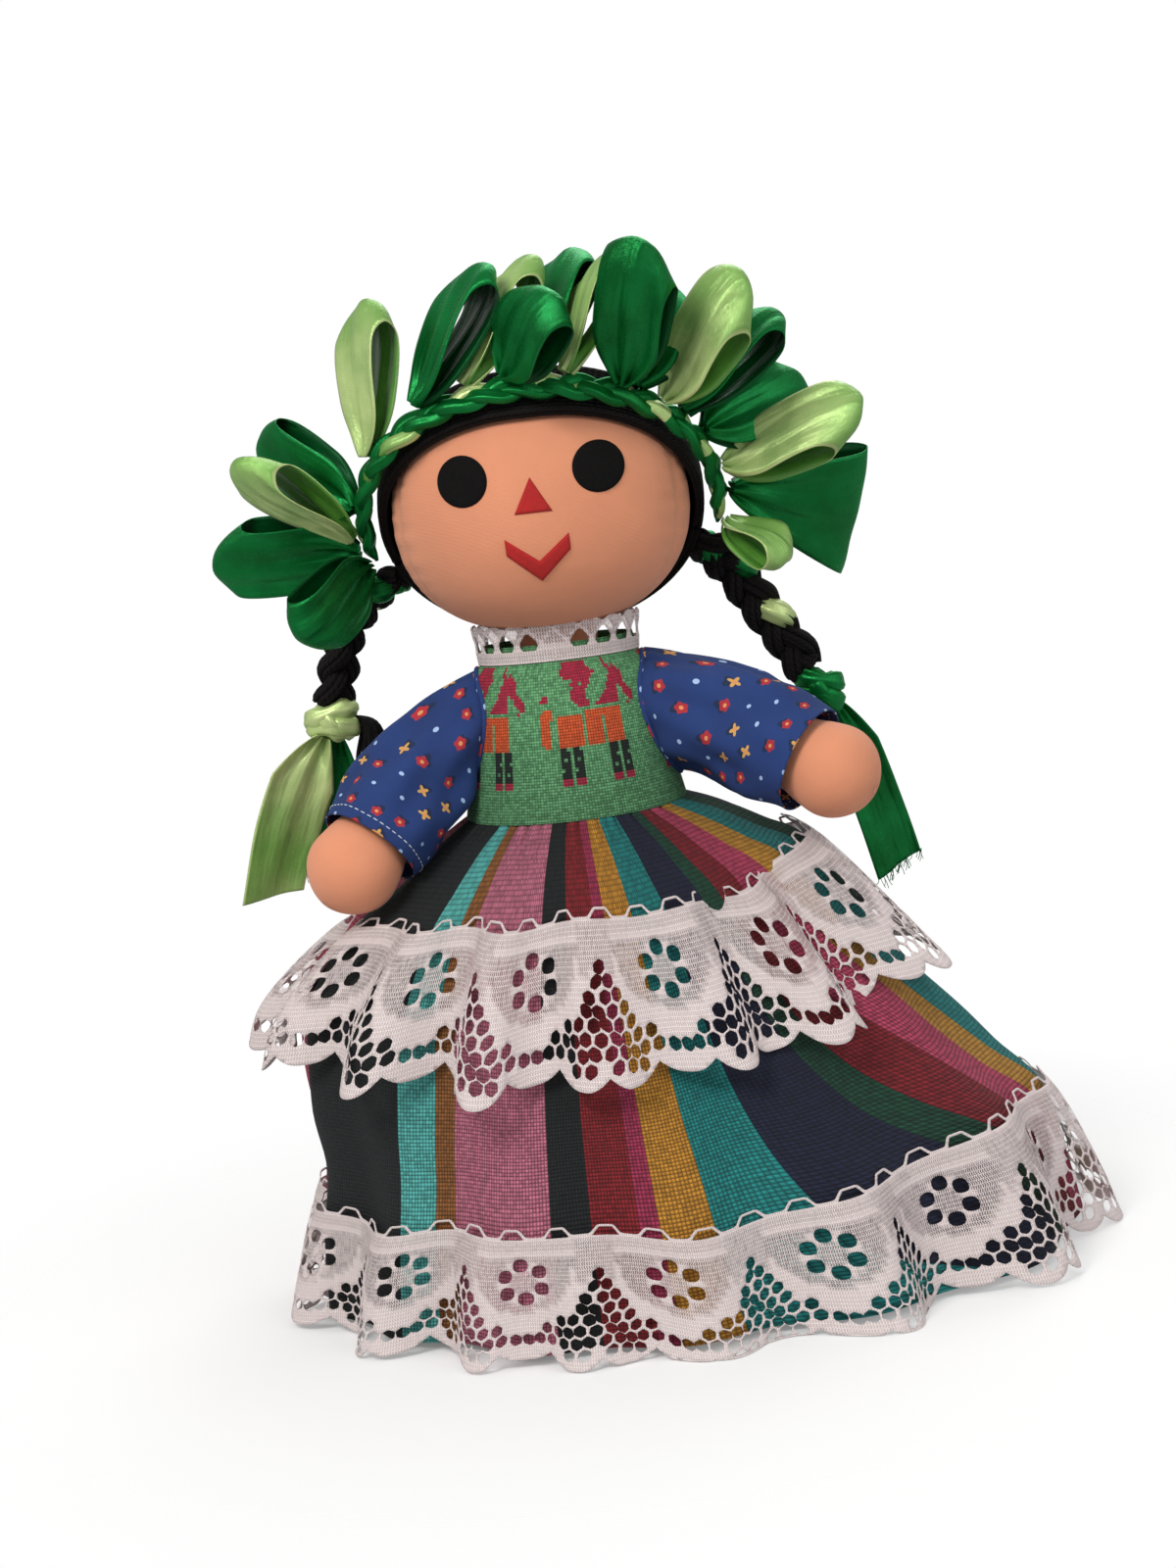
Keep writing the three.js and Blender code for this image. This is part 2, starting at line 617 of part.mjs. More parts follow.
// Plaited tubes have a gentle swell at each crossing of their strands, and close at both ends
function plaitRadius(share, radius, startRadius, swells) {
  const swell = 1 - PLAIT_SWELL * Math.cos(share * swells * 2 * Math.PI);
  const grow = Math.min(1, startRadius / radius + share * 4);
  const close = Math.min(1, 0.45 + (1 - share) * 9, 0.45 + share * 9);
  return radius * swell * grow * close;
}

function plait(path, radius, startRadius, swells, sides) {
  const count = swells * 3;
  const stops = Array.from({ length: count + 1 }, (_, i) => [
    i / count, plaitRadius(i / count, radius, startRadius, swells),
  ]);
  return limb(path, stops, sides);
}

const CROWN_SPANS = 14;
const crownPath = new THREE.CatmullRomCurve3(Array.from({ length: CROWN_SPANS + 1 }, (_, i) => {
  const angle = CROWN_REACH * ((2 * i) / CROWN_SPANS - 1);
  return crownPoint(angle, HAIR + CROWN_RADIUS * (1 + PLAIT_SWELL / 3));
}));

const crownBraid = () => plait(crownPath, CROWN_RADIUS, CROWN_RADIUS, CROWN_SWELLS, 10);

// Side braids: the pivot at the ear, then points down to the knot
const braidTop = {
  right: crownPoint(-BRAID_ANGLE, HAIR + 1.6 * FIT),
  left: crownPoint(BRAID_ANGLE, HAIR + 1.6 * FIT),
};
const BRAID_ROUTE = {
  right: [at(-13.5, 6, -7), at(-25, 13, -21), at(-32.5, 17, -44)],
  left: [at(10, 8, -10), at(20, 15, -27), at(35, 20, -52)],
};
const KNOT_OFFSET = { right: at(-34.5, 17.5, -51.8), left: at(38.5, 21, -59.9) };

function sideBraid(side) {
  const top = braidTop[side];
  const route = [top.clone(), ...BRAID_ROUTE[side].map((step) => step.clone().add(top))];
  return plait(new THREE.CatmullRomCurve3(route), BRAID_RADIUS, BRAID_TOP_RADIUS, BRAID_SWELLS, 8);
}

const knotAt = (side) => braidTop[side].clone().add(KNOT_OFFSET[side]);

function knot(side) {
  const shape = ball(at(0, 0, 0), KNOT_RADIUS, 14, 8);
  shape.scale(side === 'right' ? 1.15 : 1, 0.8, 0.75);
  return shape.translate(...knotAt(side));
}

// Ribbon tails: from under the knot, with the width growing from the tied end
function tail(side, start, end, width, bulge, face) {
  const from = knotAt(side).add(start);
  const to = knotAt(side).add(end);
  const middle = from.clone().lerp(to, 0.45).add(bulge);
  const points = new THREE.QuadraticBezierCurve3(from, middle, to).getPoints(7);
  return band(points, (share) => width * Math.min(1, 0.3 + share * 2.2), () => face);
}

// Each tail: name, satin, width, tied end and free end from the knot, bulge, and the way its width runs
const TAILS = {
  right: [
    ['right_outer', LIGHT_SATIN, RIBBON_WIDTH, at(-4, -1.5, -8), at(-31, 1, -64), at(-3, -3, 4),
      at(1, 0.35, 0)],
    ['right_inner', DARK_SATIN, CURLED_RIBBON_WIDTH, at(0.4, 4.6, -7.2), at(-13, 9, -58), at(2, 2, 2),
      at(1, -0.2, 0)],
  ],
  left: [
    ['left', DARK_SATIN, FOLDED_RIBBON_WIDTH, at(3, 2.4, -7.6), at(24, 36, -76), at(3, 6, 2),
      at(1, 0.3, 0.2)],
  ],
};

// The loose ends of the yarn below each knot
const TUFT = {
  right: [at(13.2, 1, -2.5), at(15, 3, -34), 7.5],
  left: [at(-10.7, 3, -3), at(-11, 6, -28), 6.5],
};

function tuft(side) {
  const [start, end, radius] = TUFT[side];
  const path = new THREE.LineCurve3(knotAt(side).add(start), knotAt(side).add(end));
  const swell = [[0, 0.27], [0.2, 0.8], [0.6, 1], [0.9, 0.65], [1, 0.2]];
  return limb(path, swell.map(([share, fat]) => [share, radius * fat]), 8);
}

// Loops of ribbon stand round the crown: name, place, lean, length, width, turn, forward tilt and colour
const LOOPS = [
  ['01', -101.5, -131, 45, 25, 55, 46, DARK_SATIN],
  ['02', -98, -87, 54, 27, 62, -4, DARK_SATIN],
  ['03', -91.5, -47, 52, 22, 34, 26, LIGHT_SATIN],
  ['04', -82, -51, 48, 25, 66, -26, DARK_SATIN],
  ['05', -61, 7, 54, 24, 38, 0, LIGHT_SATIN],
  ['06', -35, 34, 54, 25, 28, 8, DARK_SATIN],
  ['07', -18, 36, 50, 18, 30, -6, LIGHT_SATIN],
  ['08', -4.5, 38, 38, 25, 52, 31, DARK_SATIN],
  ['09', 2.5, 27, 56, 25, 42, -35, DARK_SATIN],
  ['10', 15.5, 29, 45, 18, 24, -14, LIGHT_SATIN],
  ['11', 33, 16, 53, 25, 71, 29, DARK_SATIN],
  ['12', 39, 22, 39, 26, 66, -20, DARK_SATIN],
  ['13', 47.5, 40, 52, 25, 52, 22, LIGHT_SATIN],
  ['14', 56.5, 49, 47, 22, 40, -8, DARK_SATIN],
  ['15', 66, 71, 46, 25, 79, -33, DARK_SATIN],
  ['16', 80, 72, 55, 24, 50, 22, LIGHT_SATIN],
  ['17', 90.5, 108, 55, 43, 105, -31, DARK_SATIN],
  ['18', 101, 124, 32, 17, 31, 40, LIGHT_SATIN],
];
const LOOP_STEPS = 10;
const LOOP_OPENING = 11;

function ribbonLoop(place, lean, length, wide, turn, tilt) {
  const rise = degrees(lean);
  const nod = degrees(tilt);
  const way = at(Math.sin(rise) * Math.cos(nod), -Math.sin(nod), Math.cos(rise) * Math.cos(nod));
  const flat = at(Math.cos(rise), 0, -Math.sin(rise));
  const open = flat.clone().applyAxisAngle(way, degrees(turn));
  const across = way.clone().cross(open);
  const share = (place / CROWN_REACH + 1) / 2;
  const along = crownPath.getTangent(share);
  const lift = plaitRadius(share, CROWN_RADIUS, CROWN_RADIUS, CROWN_SWELLS) + LOOP_CLEARANCE;
  const outward = way.clone().addScaledVector(along, -way.dot(along)).normalize();
  const foot = crownPath.getPoint(share)
    .addScaledVector(outward, lift + Math.abs(way.dot(along)) * LOOP_FOOT_WIDTH / 2);
  const points = [];
  for (let i = 0; i <= LOOP_STEPS; i++) {
    const round = (i / LOOP_STEPS) * 2 * Math.PI;
    const out = length * (1 - Math.cos(round)) / 2;
    const gape = Math.sin(round) * (LOOP_OPENING / 2) * (1 - Math.cos(round)) * 0.77;
    const apart = (i < LOOP_STEPS / 2 ? 1 : -1) * (RIBBON / 2 + FIT) * (i === LOOP_STEPS / 2 ? 0 : 1);
    points.push(foot.clone().addScaledVector(way, out).addScaledVector(open, gape + apart));
  }
  const width = (share) => {
    const spread = LOOP_FOOT_WIDTH + Math.sin(share * Math.PI) * wide * 1.1;
    return Math.min(wide, spread);
  };
  return band(points, width, () => across);
}

// Groups that move: the neck turns in the trunk, the head nods on the neck, and so on
const torsoBody = pivot('pivot_torso', at(0, 0, 0), doll);
const neckBody = pivot('pivot_neck', neckPivot, torsoBody);
const headBody = pivot('pivot_head', neckPivot, neckBody);

piece('torso', trunk(), SKIN, torsoBody);
piece('bodice', bodice(), WOVEN_GREEN, torsoBody);
piece('collar_lace', collar(), WHITE_LACE, torsoBody);
piece('skirt', skirt(), STRIPES, torsoBody);
const upperLace = ruffle(LACE_TOP_ROW, LACE_BOTTOM_ROW, 3, LACE_STAND_OFF, 0, 9);
const hemLace = ruffle(HEM_LACE_ROW, ROWS - 1, 2, HEM_LACE_STAND_OFF, HEM_HEIGHT, 11);
piece('skirt_lace_upper', upperLace, WHITE_LACE, torsoBody);
piece('skirt_lace_hem', hemLace, WHITE_LACE, torsoBody);
piece('neck', neckPost(0), SKIN, neckBody);
piece('head', head(), SKIN, headBody);
piece('eye_right', feltPatch(eyeOutline(-1)), BLACK_FELT, headBody);
piece('eye_left', feltPatch(eyeOutline(1)), BLACK_FELT, headBody);
piece('nose', feltPatch(noseOutline), RED_FELT, headBody);
piece('mouth', mouth(), RED_FELT, headBody);
piece('hair_cap', hairCap(), YARN, headBody);
piece('crown_braid', crownBraid(), DARK_SATIN, headBody);
for (const [name, place, lean, length, wide, turn, tilt, satin] of LOOPS) {
  piece(`ribbon_loop_${name}`, ribbonLoop(place, lean, length, wide, turn, tilt), satin, headBody);
}

for (const side of ['right', 'left']) {
  const seamBody = pivot(`pivot_shoulder_${side}`, shoulder[side], torsoBody);
  const armBody = pivot(`pivot_arm_${side}`, shoulder[side], seamBody);
  const seamRadius = SHOULDER_BALL_RADIUS + FIT + ARMHOLE_SEAM;
  piece(`armhole_seam_${side}`, seamRing(shoulder[side], seamRadius, ARMHOLE_SEAM), CALICO, seamBody);
  piece(`arm_${side}`, alongArm(side, ARM_STOPS, 14), SKIN, armBody);
  piece(`sleeve_${side}`, sleeve(side), CALICO, armBody);
  const legBody = pivot(`pivot_leg_${side}`, hip[side], torsoBody);
  piece(`leg_${side}`, leg(side), SKIN, legBody);
  piece(`shoe_${side}`, shoe(side), SHOE_FELT, legBody);
}

for (const side of ['right', 'left']) {
  const braidBody = pivot(`pivot_braid_${side}`, braidTop[side], headBody);
  piece(`hair_braid_${side}`, sideBraid(side), YARN, braidBody);
  piece(`braid_knot_${side}`, knot(side), side === 'right' ? LIGHT_SATIN : DARK_SATIN, braidBody);
  piece(`hair_tuft_${side}`, tuft(side), YARN, braidBody);
  for (const [name, satin, width, start, end, bulge, face] of TAILS[side]) {
    piece(`ribbon_tail_${name}`, tail(side, start, end, width, bulge, face), satin, braidBody);
  }
}

// The origin is under the middle of the whole doll, on the floor
doll.updateMatrixWorld(true);
const bounds = new THREE.Box3().setFromObject(doll, true);
const middle = bounds.getCenter(new THREE.Vector3());
doll.position.set(-middle.x, -middle.y, -bounds.min.z);

export default doll;
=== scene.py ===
"""A cloth rag doll with a crown of ribbon loops, a woven bodice and a striped skirt with lace.

Run as a script, it dresses the doll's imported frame: every piece of cloth, felt, yarn, ribbon and lace
is made at its real size and rides on the part of the doll that carries it.
"""
import random
from math import acos, asin, ceil, cos, pi, radians, sin, sqrt

import bmesh
import bpy
import numpy as np
from mathutils import Matrix, Vector, noise
from mathutils.bvhtree import BVHTree
from mathutils.geometry import delaunay_2d_cdt


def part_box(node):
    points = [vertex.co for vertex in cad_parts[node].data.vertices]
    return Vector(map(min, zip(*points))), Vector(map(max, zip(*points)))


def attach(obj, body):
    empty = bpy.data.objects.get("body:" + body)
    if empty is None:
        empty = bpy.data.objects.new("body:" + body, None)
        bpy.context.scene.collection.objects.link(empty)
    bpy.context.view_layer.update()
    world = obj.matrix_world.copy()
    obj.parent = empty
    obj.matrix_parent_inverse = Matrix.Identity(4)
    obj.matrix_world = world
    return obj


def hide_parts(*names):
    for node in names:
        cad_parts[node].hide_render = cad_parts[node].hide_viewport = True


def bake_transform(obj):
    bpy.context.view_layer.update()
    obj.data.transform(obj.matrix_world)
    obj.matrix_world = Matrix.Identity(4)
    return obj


bl_info = {
    "name": "Rag Doll",
    "version": (1, 0, 0),
    "blender": (4, 5, 0),
    "location": "3D View > Sidebar > Rag Doll",
    "description": "Makes a rag doll's cloth, hair, ribbons and lace round its frame",
    "category": "Object",
}

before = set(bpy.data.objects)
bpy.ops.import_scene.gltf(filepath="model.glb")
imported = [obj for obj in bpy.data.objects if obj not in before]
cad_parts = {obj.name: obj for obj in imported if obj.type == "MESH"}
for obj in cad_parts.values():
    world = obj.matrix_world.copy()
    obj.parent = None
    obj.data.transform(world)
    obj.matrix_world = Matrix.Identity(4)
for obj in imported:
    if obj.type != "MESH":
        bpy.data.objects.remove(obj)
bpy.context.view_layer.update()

# The doll is shaped in millimetres from its own axis, and placed by the frame's head
MM = 0.001
head_low, head_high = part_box("head")
AXIS = np.array([(head_low.x + head_high.x) / 2, (head_low.y + head_high.y) / 2, 0.0])
SIDES = {"right": -1, "left": 1}

# Head, in millimetres
HEAD_HALF = np.array([54.0, 50.0, 45.0])
HEAD_HEIGHT = 277.0
HEAD_MIDDLE = np.array([0.0, 0.0, HEAD_HEIGHT])
HEAD_FULLNESS = 2.25
NECK_BALL_HEIGHT = 229.0
NECK_HOLLOW_RADIUS = 15.7
HEAD_REACH_BELOW = 43.6
FACE_SEAM_TURN = 70
FELT = 0.9
EYE_SPACING = 46.8
EYE_HEIGHT = 290.0
EYE_RADIUS = 8.8
NOSE = [(0.0, 289.0), (-6.5, 277.0), (6.5, 277.0)]
MOUTH = [(-11.0, 269.0), (0.0, 260.5), (11.0, 269.0), (11.0, 263.4), (0.0, 253.5), (-11.0, 263.4)]

# Hair and ribbons, in millimetres and degrees
HAIR = 4.5
HAIRLINE_TILT = radians(49.3)
HAIRLINE_DROP = 7.8
CROWN_RADIUS = 5.0
CROWN_SET_BACK = 5.0
CROWN_REACH = 102
BRAID_ANGLE = 113
RIBBON_WIDTH = 25.0
RIBBON_THICKNESS = 0.35

# Bodice as height, half width, half depth, and the skirt below it, in millimetres
BODICE = [(223, 28, 19), (216, 32.5, 23), (201, 34.5, 29), (184.5, 36.5, 33), (168.5, 39.5, 37)]
BODICE_RADIUS = 36.5
SKIRT_TOP = 168.1
HEM_HEIGHT = 2.5
WAIST = {"left": 39.5, "right": 39.5, "front": 37.0, "back": 37.0}
HEM = {"left": 163.0, "right": 109.0, "front": 109.0, "back": 112.0}
FLARE = {
    "left": [(0, 0), (0.11, 0.03), (0.215, 0.073), (0.32, 0.125), (0.465, 0.29), (0.55, 0.39),
             (0.67, 0.5), (0.8, 0.615), (0.91, 0.715), (0.97, 0.87), (1, 1)],
    "front": [(0, 0), (0.125, 0.05), (0.265, 0.11), (0.43, 0.205), (0.61, 0.38), (0.68, 0.48),
              (0.765, 0.58), (0.835, 0.675), (0.905, 0.785), (0.96, 0.9), (1, 1)],
    "right": [(0, 0), (0.19, 0.05), (0.4, 0.12), (0.66, 0.19), (0.935, 0.32), (0.99, 0.42),
              (0.985, 0.55), (0.94, 0.675), (0.955, 0.785), (0.985, 0.9), (1, 1)],
    "back": [(0, 0), (0.135, 0.05), (0.28, 0.1), (0.44, 0.18), (0.615, 0.37), (0.68, 0.47),
             (0.76, 0.58), (0.84, 0.69), (0.905, 0.785), (0.96, 0.9), (1, 1)],
}
FOLD_COUNT = 14
FOLD_DEPTH = 5.0
SKIRT_LENGTH = 190.0
SKIRT_WIDTH = 900.0

# Arms: where they start, and how far they point down and forward
SHOULDER_OFFSET = 38.0
SHOULDER_HEIGHT = 206.0
ARM_DOWN = {"right": 48, "left": 29}
ARM_FORWARD = {"right": 28, "left": 26}
SLEEVE_LENGTH = 59.0
HIDDEN_BY_SLEEVE = 40.0

# Legs and shoes
HIP_OFFSET = 19.0
HIP_HEIGHT = 146.0
SHOE_LENGTH = 46.0
SHOE_WIDTH = 27.0


def srgb(red, green, blue):
    """A colour given as it looks on a screen, in the linear values that shaders take."""
    shares = (value / 255 for value in (red, green, blue))
    return tuple(share / 12.92 if share <= 0.04045 else ((share + 0.055) / 1.055) ** 2.4 for share in shares)


def colour_property(name, description, colour):
    return bpy.props.FloatVectorProperty(
        name=name, description=description, default=colour, size=3, min=0, max=1, subtype="COLOR")


def length_property(name, description, metres):
    return bpy.props.FloatProperty(
        name=name, description=description, default=metres, min=0, precision=5, unit="LENGTH")


class ClothSettings(bpy.types.PropertyGroup):
    """Colours and thread sizes of the doll's woven cloth and felt."""
    skin: colour_property("Skin cotton", "Colour of the head, arms and legs", srgb(236, 154, 115))
    skin_thread: length_property("Skin thread", "Pitch of the skin cotton's threads", 0.00045)
    eyes: colour_property("Eye felt", "Colour of the two round eyes", srgb(10, 8, 8))
    mouth: colour_property("Mouth felt", "Colour of the nose and the mouth", srgb(176, 28, 26))
    ground: colour_property("Bodice ground", "Ground colour of the woven bodice", srgb(92, 158, 104))
    bodice_thread: length_property("Bodice thread", "Pitch of the bodice's threads", 0.001)
    sleeve: colour_property("Sleeve ground", "Ground colour of the printed sleeves", srgb(31, 60, 122))
    sleeve_sprig: length_property("Sprig spacing", "Distance between the sleeve's printed flowers", 0.0105)
    skirt_thread: length_property("Skirt thread", "Pitch of the skirt's coarse threads", 0.0015)
    shoe: colour_property("Shoe felt", "Colour of the shoes", srgb(30, 28, 30))


class HairSettings(bpy.types.PropertyGroup):
    """Colours and counts of the yarn hair."""
    yarn: colour_property("Yarn", "Colour of the hair yarn", srgb(16, 11, 11))
    yarn_thickness: length_property("Yarn thickness", "Thickness of one yarn on the head", 0.0019)
    yarn_count: bpy.props.IntProperty(
        name="Yarns over the head", description="How many yarns run from ear to ear", default=104, min=10)


class RibbonSettings(bpy.types.PropertyGroup):
    """Colours of the satin ribbons."""
    dark: colour_property("Dark satin", "Colour of the dark green ribbon", srgb(16, 124, 58))
    light: colour_property("Light satin", "Outer colour of the light green ribbon", srgb(212, 230, 156))
    # Painted shade: a mid green that stands in for the shade inside the light loops and towards their tips
    light_satin_shade: colour_property("Light satin painted shade", "Painted shade inside the light loops and towards their tips", srgb(104, 164, 68))


class LaceSettings(bpy.types.PropertyGroup):
    """Colour and fineness of the lace."""
    thread: colour_property("Lace thread", "Colour of the lace", srgb(243, 228, 226))
    bar: length_property("Lace bar", "Width of the bars between two holes", 0.0009)


class StageSettings(bpy.types.PropertyGroup):
    """The camera, the lamps and the floor."""
    distance: length_property("Camera distance", "From the camera to the doll", 1.0)
    azimuth: bpy.props.FloatProperty(
        name="Camera azimuth", description="Turn round the doll", default=radians(3), subtype="ANGLE")
    elevation: bpy.props.FloatProperty(
        name="Camera elevation", description="Height above the horizon", default=radians(8),
        subtype="ANGLE")
    roll: bpy.props.FloatProperty(
        name="Camera roll", description="Lean of the picture", default=radians(6.8), subtype="ANGLE")
    floor: colour_property("Floor", "Colour of the floor", (0.9, 0.9, 0.9))


def circle(count):
    """Even turns of a full circle."""
    return np.linspace(0, 2 * pi, count, endpoint=False)


def points_at(x, y, z):
    """Points from coordinates whose shapes go together."""
    return np.stack(np.broadcast_arrays(x, y, z), -1)


def grid_of(across, down):
    return np.stack(np.meshgrid(across, down), -1)


def hump(value, width):
    """A soft hump: 1 where the value is 0, and near 0 beyond twice the width."""
    return np.exp(-((value / width) ** 2))


def unit(vectors):
    return vectors / np.maximum(np.linalg.norm(vectors, axis=-1, keepdims=True), 1e-12)


def head_reach(way, offset):
    """How far the head's surface, grown by an offset, lies from its middle in each direction."""
    half = HEAD_HALF + np.asarray(offset)[..., None]
    scaled = way / half
    flat = np.hypot(scaled[..., 0], scaled[..., 1])
    tall = np.abs(scaled[..., 2])
    return (flat ** HEAD_FULLNESS + tall ** HEAD_FULLNESS) ** (-1 / HEAD_FULLNESS)


def on_head(start, way, offset):
    """Goes from a start inside the head along each way to the surface at that offset."""
    offset = np.broadcast_to(np.asarray(offset, float), way.shape[:-1])
    near = np.zeros(way.shape[:-1])
    far = np.full(way.shape[:-1], 2 * HEAD_HALF[0])
    for _ in range(34):
        half = (near + far) / 2
        inside = head_reach(start + way * half[..., None] - HEAD_MIDDLE, offset) > 1
        near = np.where(inside, half, near)
        far = np.where(inside, far, half)
    return start + way * near[..., None]


HAIRLINE_NORMAL = np.array([0, sin(HAIRLINE_TILT), cos(HAIRLINE_TILT)])
HAIRLINE_UP = np.array([0, -cos(HAIRLINE_TILT), sin(HAIRLINE_TILT)])
ACROSS = np.array([1.0, 0.0, 0.0])


def crown_point(degrees, offset):
    """A point of the crown braid's circle, at an angle from the top towards the doll's left."""
    turn = np.radians(np.asarray(degrees, float))[..., None]
    middle = HEAD_MIDDLE + HAIRLINE_NORMAL * (CROWN_SET_BACK - HAIRLINE_DROP)
    way = np.sin(turn) * ACROSS + np.cos(turn) * HAIRLINE_UP
    return on_head(middle, way, offset)


def smooth_curve(points, count):
    """A Catmull-Rom curve through the points, at evenly spread parameters."""
    points = np.array(points, float)
    ends = np.concatenate([[2 * points[0] - points[1]], points, [2 * points[-1] - points[-2]]])
    place = np.linspace(0, len(points) - 1, count)
    low = np.minimum(place.astype(int), len(points) - 2)
    t = (place - low)[:, None]
    a, b, c, d = (ends[low + i] for i in range(4))
    return 0.5 * (2 * b + (c - a) * t + (2 * a - 5 * b + 4 * c - d) * t**2 + (3 * b - a - 3 * c + d) * t**3)


def lengths_along(path):
    steps = np.linalg.norm(np.diff(path, axis=0), axis=1)
    return np.concatenate([[0], np.cumsum(steps)])


def frames_along(path, side):
    """Tangent, side and up of each point of a path, with the side carried along without twist."""
    tangents = unit(np.gradient(path, axis=0))
    sides = []
    for tangent in tangents:
        side = unit(side - tangent * np.dot(side, tangent))
        sides.append(side)
    sides = np.array(sides)
    return tangents, sides, np.cross(tangents, sides)


def rings_round(path, side, up, turn, wide, thick):
    """Rings round the points of a path, with their half sizes along its side and along up."""
    return (path[:, None] + (wide * np.cos(turn))[..., None] * side[:, None]
            + (thick * np.sin(turn))[..., None] * up[:, None])


def outside_ball(points, middle, radius):
    """Moves the points within a ball out to its surface."""
    away = points - middle
    far = np.linalg.norm(away, axis=-1, keepdims=True)
    return np.where(far < radius, middle + away / np.maximum(far, 1e-6) * radius, points)


def wobble(points, size, depth, seed=0.0):
    """Smooth noise at each point, from -depth to depth."""
    flat = np.asarray(points).reshape(-1, 3) / size + seed
    values = np.array([noise.noise(Vector(p)) for p in flat])
    return depth * values.reshape(np.shape(points)[:-1])


class Shape:
    """Points in doll millimetres and faces, each corner with its place on the flat cloth in metres."""

    def __init__(self):
        self.points = []
        self.faces = []
        self.corners = []
        self.paints = []
        self.count = 0

    def add_points(self, points):
        start = self.count
        flat = np.asarray(points, float).reshape(-1, 3)
        self.points.append(flat)
        self.count += len(flat)
        return start

    def add_faces(self, faces, corners, paint=0):
        self.faces.extend(np.asarray(faces).tolist())
        self.corners.append(np.asarray(corners, float).reshape(-1, 2))
        self.paints.append(np.broadcast_to(paint, len(faces)))

    def add_grid(self, points, cloth, wrap=False, inside_out=False, paint=0):
        rows, columns = points.shape[:2]
        index = self.add_points(points) + np.arange(rows * columns).reshape(rows, columns)
        if wrap:
            index = np.concatenate([index, index[:, :1]], axis=1)
        self.weave(index, cloth, inside_out, paint)
        return index

    def weave(self, index, cloth, inside_out=False, paint=0):
        """Quads over a grid of point numbers."""
        quads = np.stack([index[:-1, :-1], index[1:, :-1], index[1:, 1:], index[:-1, 1:]], -1)
        flat = np.stack([cloth[:-1, :-1], cloth[1:, :-1], cloth[1:, 1:], cloth[:-1, 1:]], 2)
        if inside_out:
            quads, flat = quads[..., ::-1], flat[:, :, ::-1]
        self.add_faces(quads.reshape(-1, 4), flat, paint)

    def add_cap(self, ring, cloth, inside_out=False):
        """Closes a ring of point numbers with a fan round its middle."""
        tip = self.add_points(np.concatenate(self.points)[ring].mean(axis=0))
        fan = np.stack([ring, np.roll(ring, -1), np.full(len(ring), tip)], -1)
        if inside_out:
            fan = fan[:, ::-1]
        self.add_faces(fan, np.broadcast_to(cloth, (len(ring), 3, 2)))

    def add_closed(self, rings, cloth):
        """Rings of points joined into a tube with both ends closed."""
        index = self.add_grid(rings, cloth, wrap=True)
        self.add_cap(index[0, :-1], cloth[0, 0])
        self.add_cap(index[-1, :-1], cloth[-1, 0], inside_out=True)
        return index

    def add_hoop(self, rings, cloth):
        """Rings of points whose last one is joined to the first."""
        index = self.add_points(rings) + np.arange(rings[..., 0].size).reshape(rings.shape[:2])
        self.weave(np.pad(index, ((0, 1), (0, 1)), "wrap"), cloth)

    def add_flat(self, top, below, faces, cloth, rim):
        """The two sides of a flat piece of triangles, and its cut edges."""
        first, second = self.add_points(top), self.add_points(below)
        self.add_faces(faces + first, cloth[faces])
        self.add_faces(faces[:, ::-1] + second, cloth[faces[:, ::-1]])
        for a, b in rim:
            self.add_faces([[a + first, a + second, b + second, b + first]], cloth[[a, a, b, b]][None])

    def add_shell(self, points, cloth, thickness, wrap=False, paint=0, inner_paint=0):
        """A sheet with real thickness: the given grid outside, its inner side and its edges."""
        inner_points = points - sheet_normals(points, wrap) * thickness
        outer = self.add_grid(points, cloth, wrap, paint=paint)
        inner = self.add_grid(inner_points, cloth, wrap, inside_out=True, paint=inner_paint)
        for edge, turned in ((0, False), (-1, True)):
            self.weave(np.stack([inner[edge], outer[edge]]), cloth[[edge, edge]], turned, inner_paint)
        if not wrap:
            for edge, turned in ((0, True), (-1, False)):
                rim = np.stack([inner[:, edge], outer[:, edge]])
                self.weave(rim, cloth[:, [edge, edge]].transpose(1, 0, 2), turned, inner_paint)
        return outer

    def add_tube(self, path, across, radii, sides, flatness, profile):
        """A tube with closed ends, from its radii and the share of its thickness to its width."""
        _, side, up = frames_along(path, across)
        turn = circle(sides)
        reach = radii[:, None] * profile(turn)
        round_it = np.linspace(0, 2 * pi * float(np.mean(radii)) * MM, sides + 1)
        cloth = grid_of(round_it, lengths_along(path) * MM)
        self.add_closed(rings_round(path, side, up, turn, reach, reach * flatness), cloth)

    def make(self, name, *materials, recalculate=True, smooth=True):
        points = np.concatenate(self.points) * MM + AXIS
        mesh = bpy.data.meshes.new(name)
        mesh.from_pydata(points.tolist(), [], self.faces)
        layer = mesh.uv_layers.new(name="UVMap")
        layer.data.foreach_set("uv", np.concatenate(self.corners).astype(np.float32).ravel())
        mesh.polygons.foreach_set("material_index", np.concatenate(self.paints).astype(np.int32))
        mesh.polygons.foreach_set("use_smooth", np.full(len(mesh.polygons), smooth))
        for material in materials:
            mesh.materials.append(material)
        if recalculate:
            face_outwards(mesh)
        return placed(name, mesh)


def placed(name, data):
    """A new object in the scene."""
    made = bpy.data.objects.new(name, data)
    bpy.context.scene.collection.objects.link(made)
    return made


def sheet_normals(points, wrap):
    if wrap:
        across = np.roll(points, -1, axis=1) - np.roll(points, 1, axis=1)
    else:
        across = np.gradient(points, axis=1)
    return unit(np.cross(np.gradient(points, axis=0), across))


def face_outwards(mesh):
    shape = bmesh.new()
    shape.from_mesh(mesh)
    bmesh.ops.recalc_face_normals(shape, faces=shape.faces)
    shape.to_mesh(mesh)
    shape.free()


def cloth_grid(width, length, columns, rows):
    """Flat places of a grid in metres, from sizes in millimetres."""
    return grid_of(np.linspace(0, width * MM, columns), np.linspace(0, length * MM, rows))


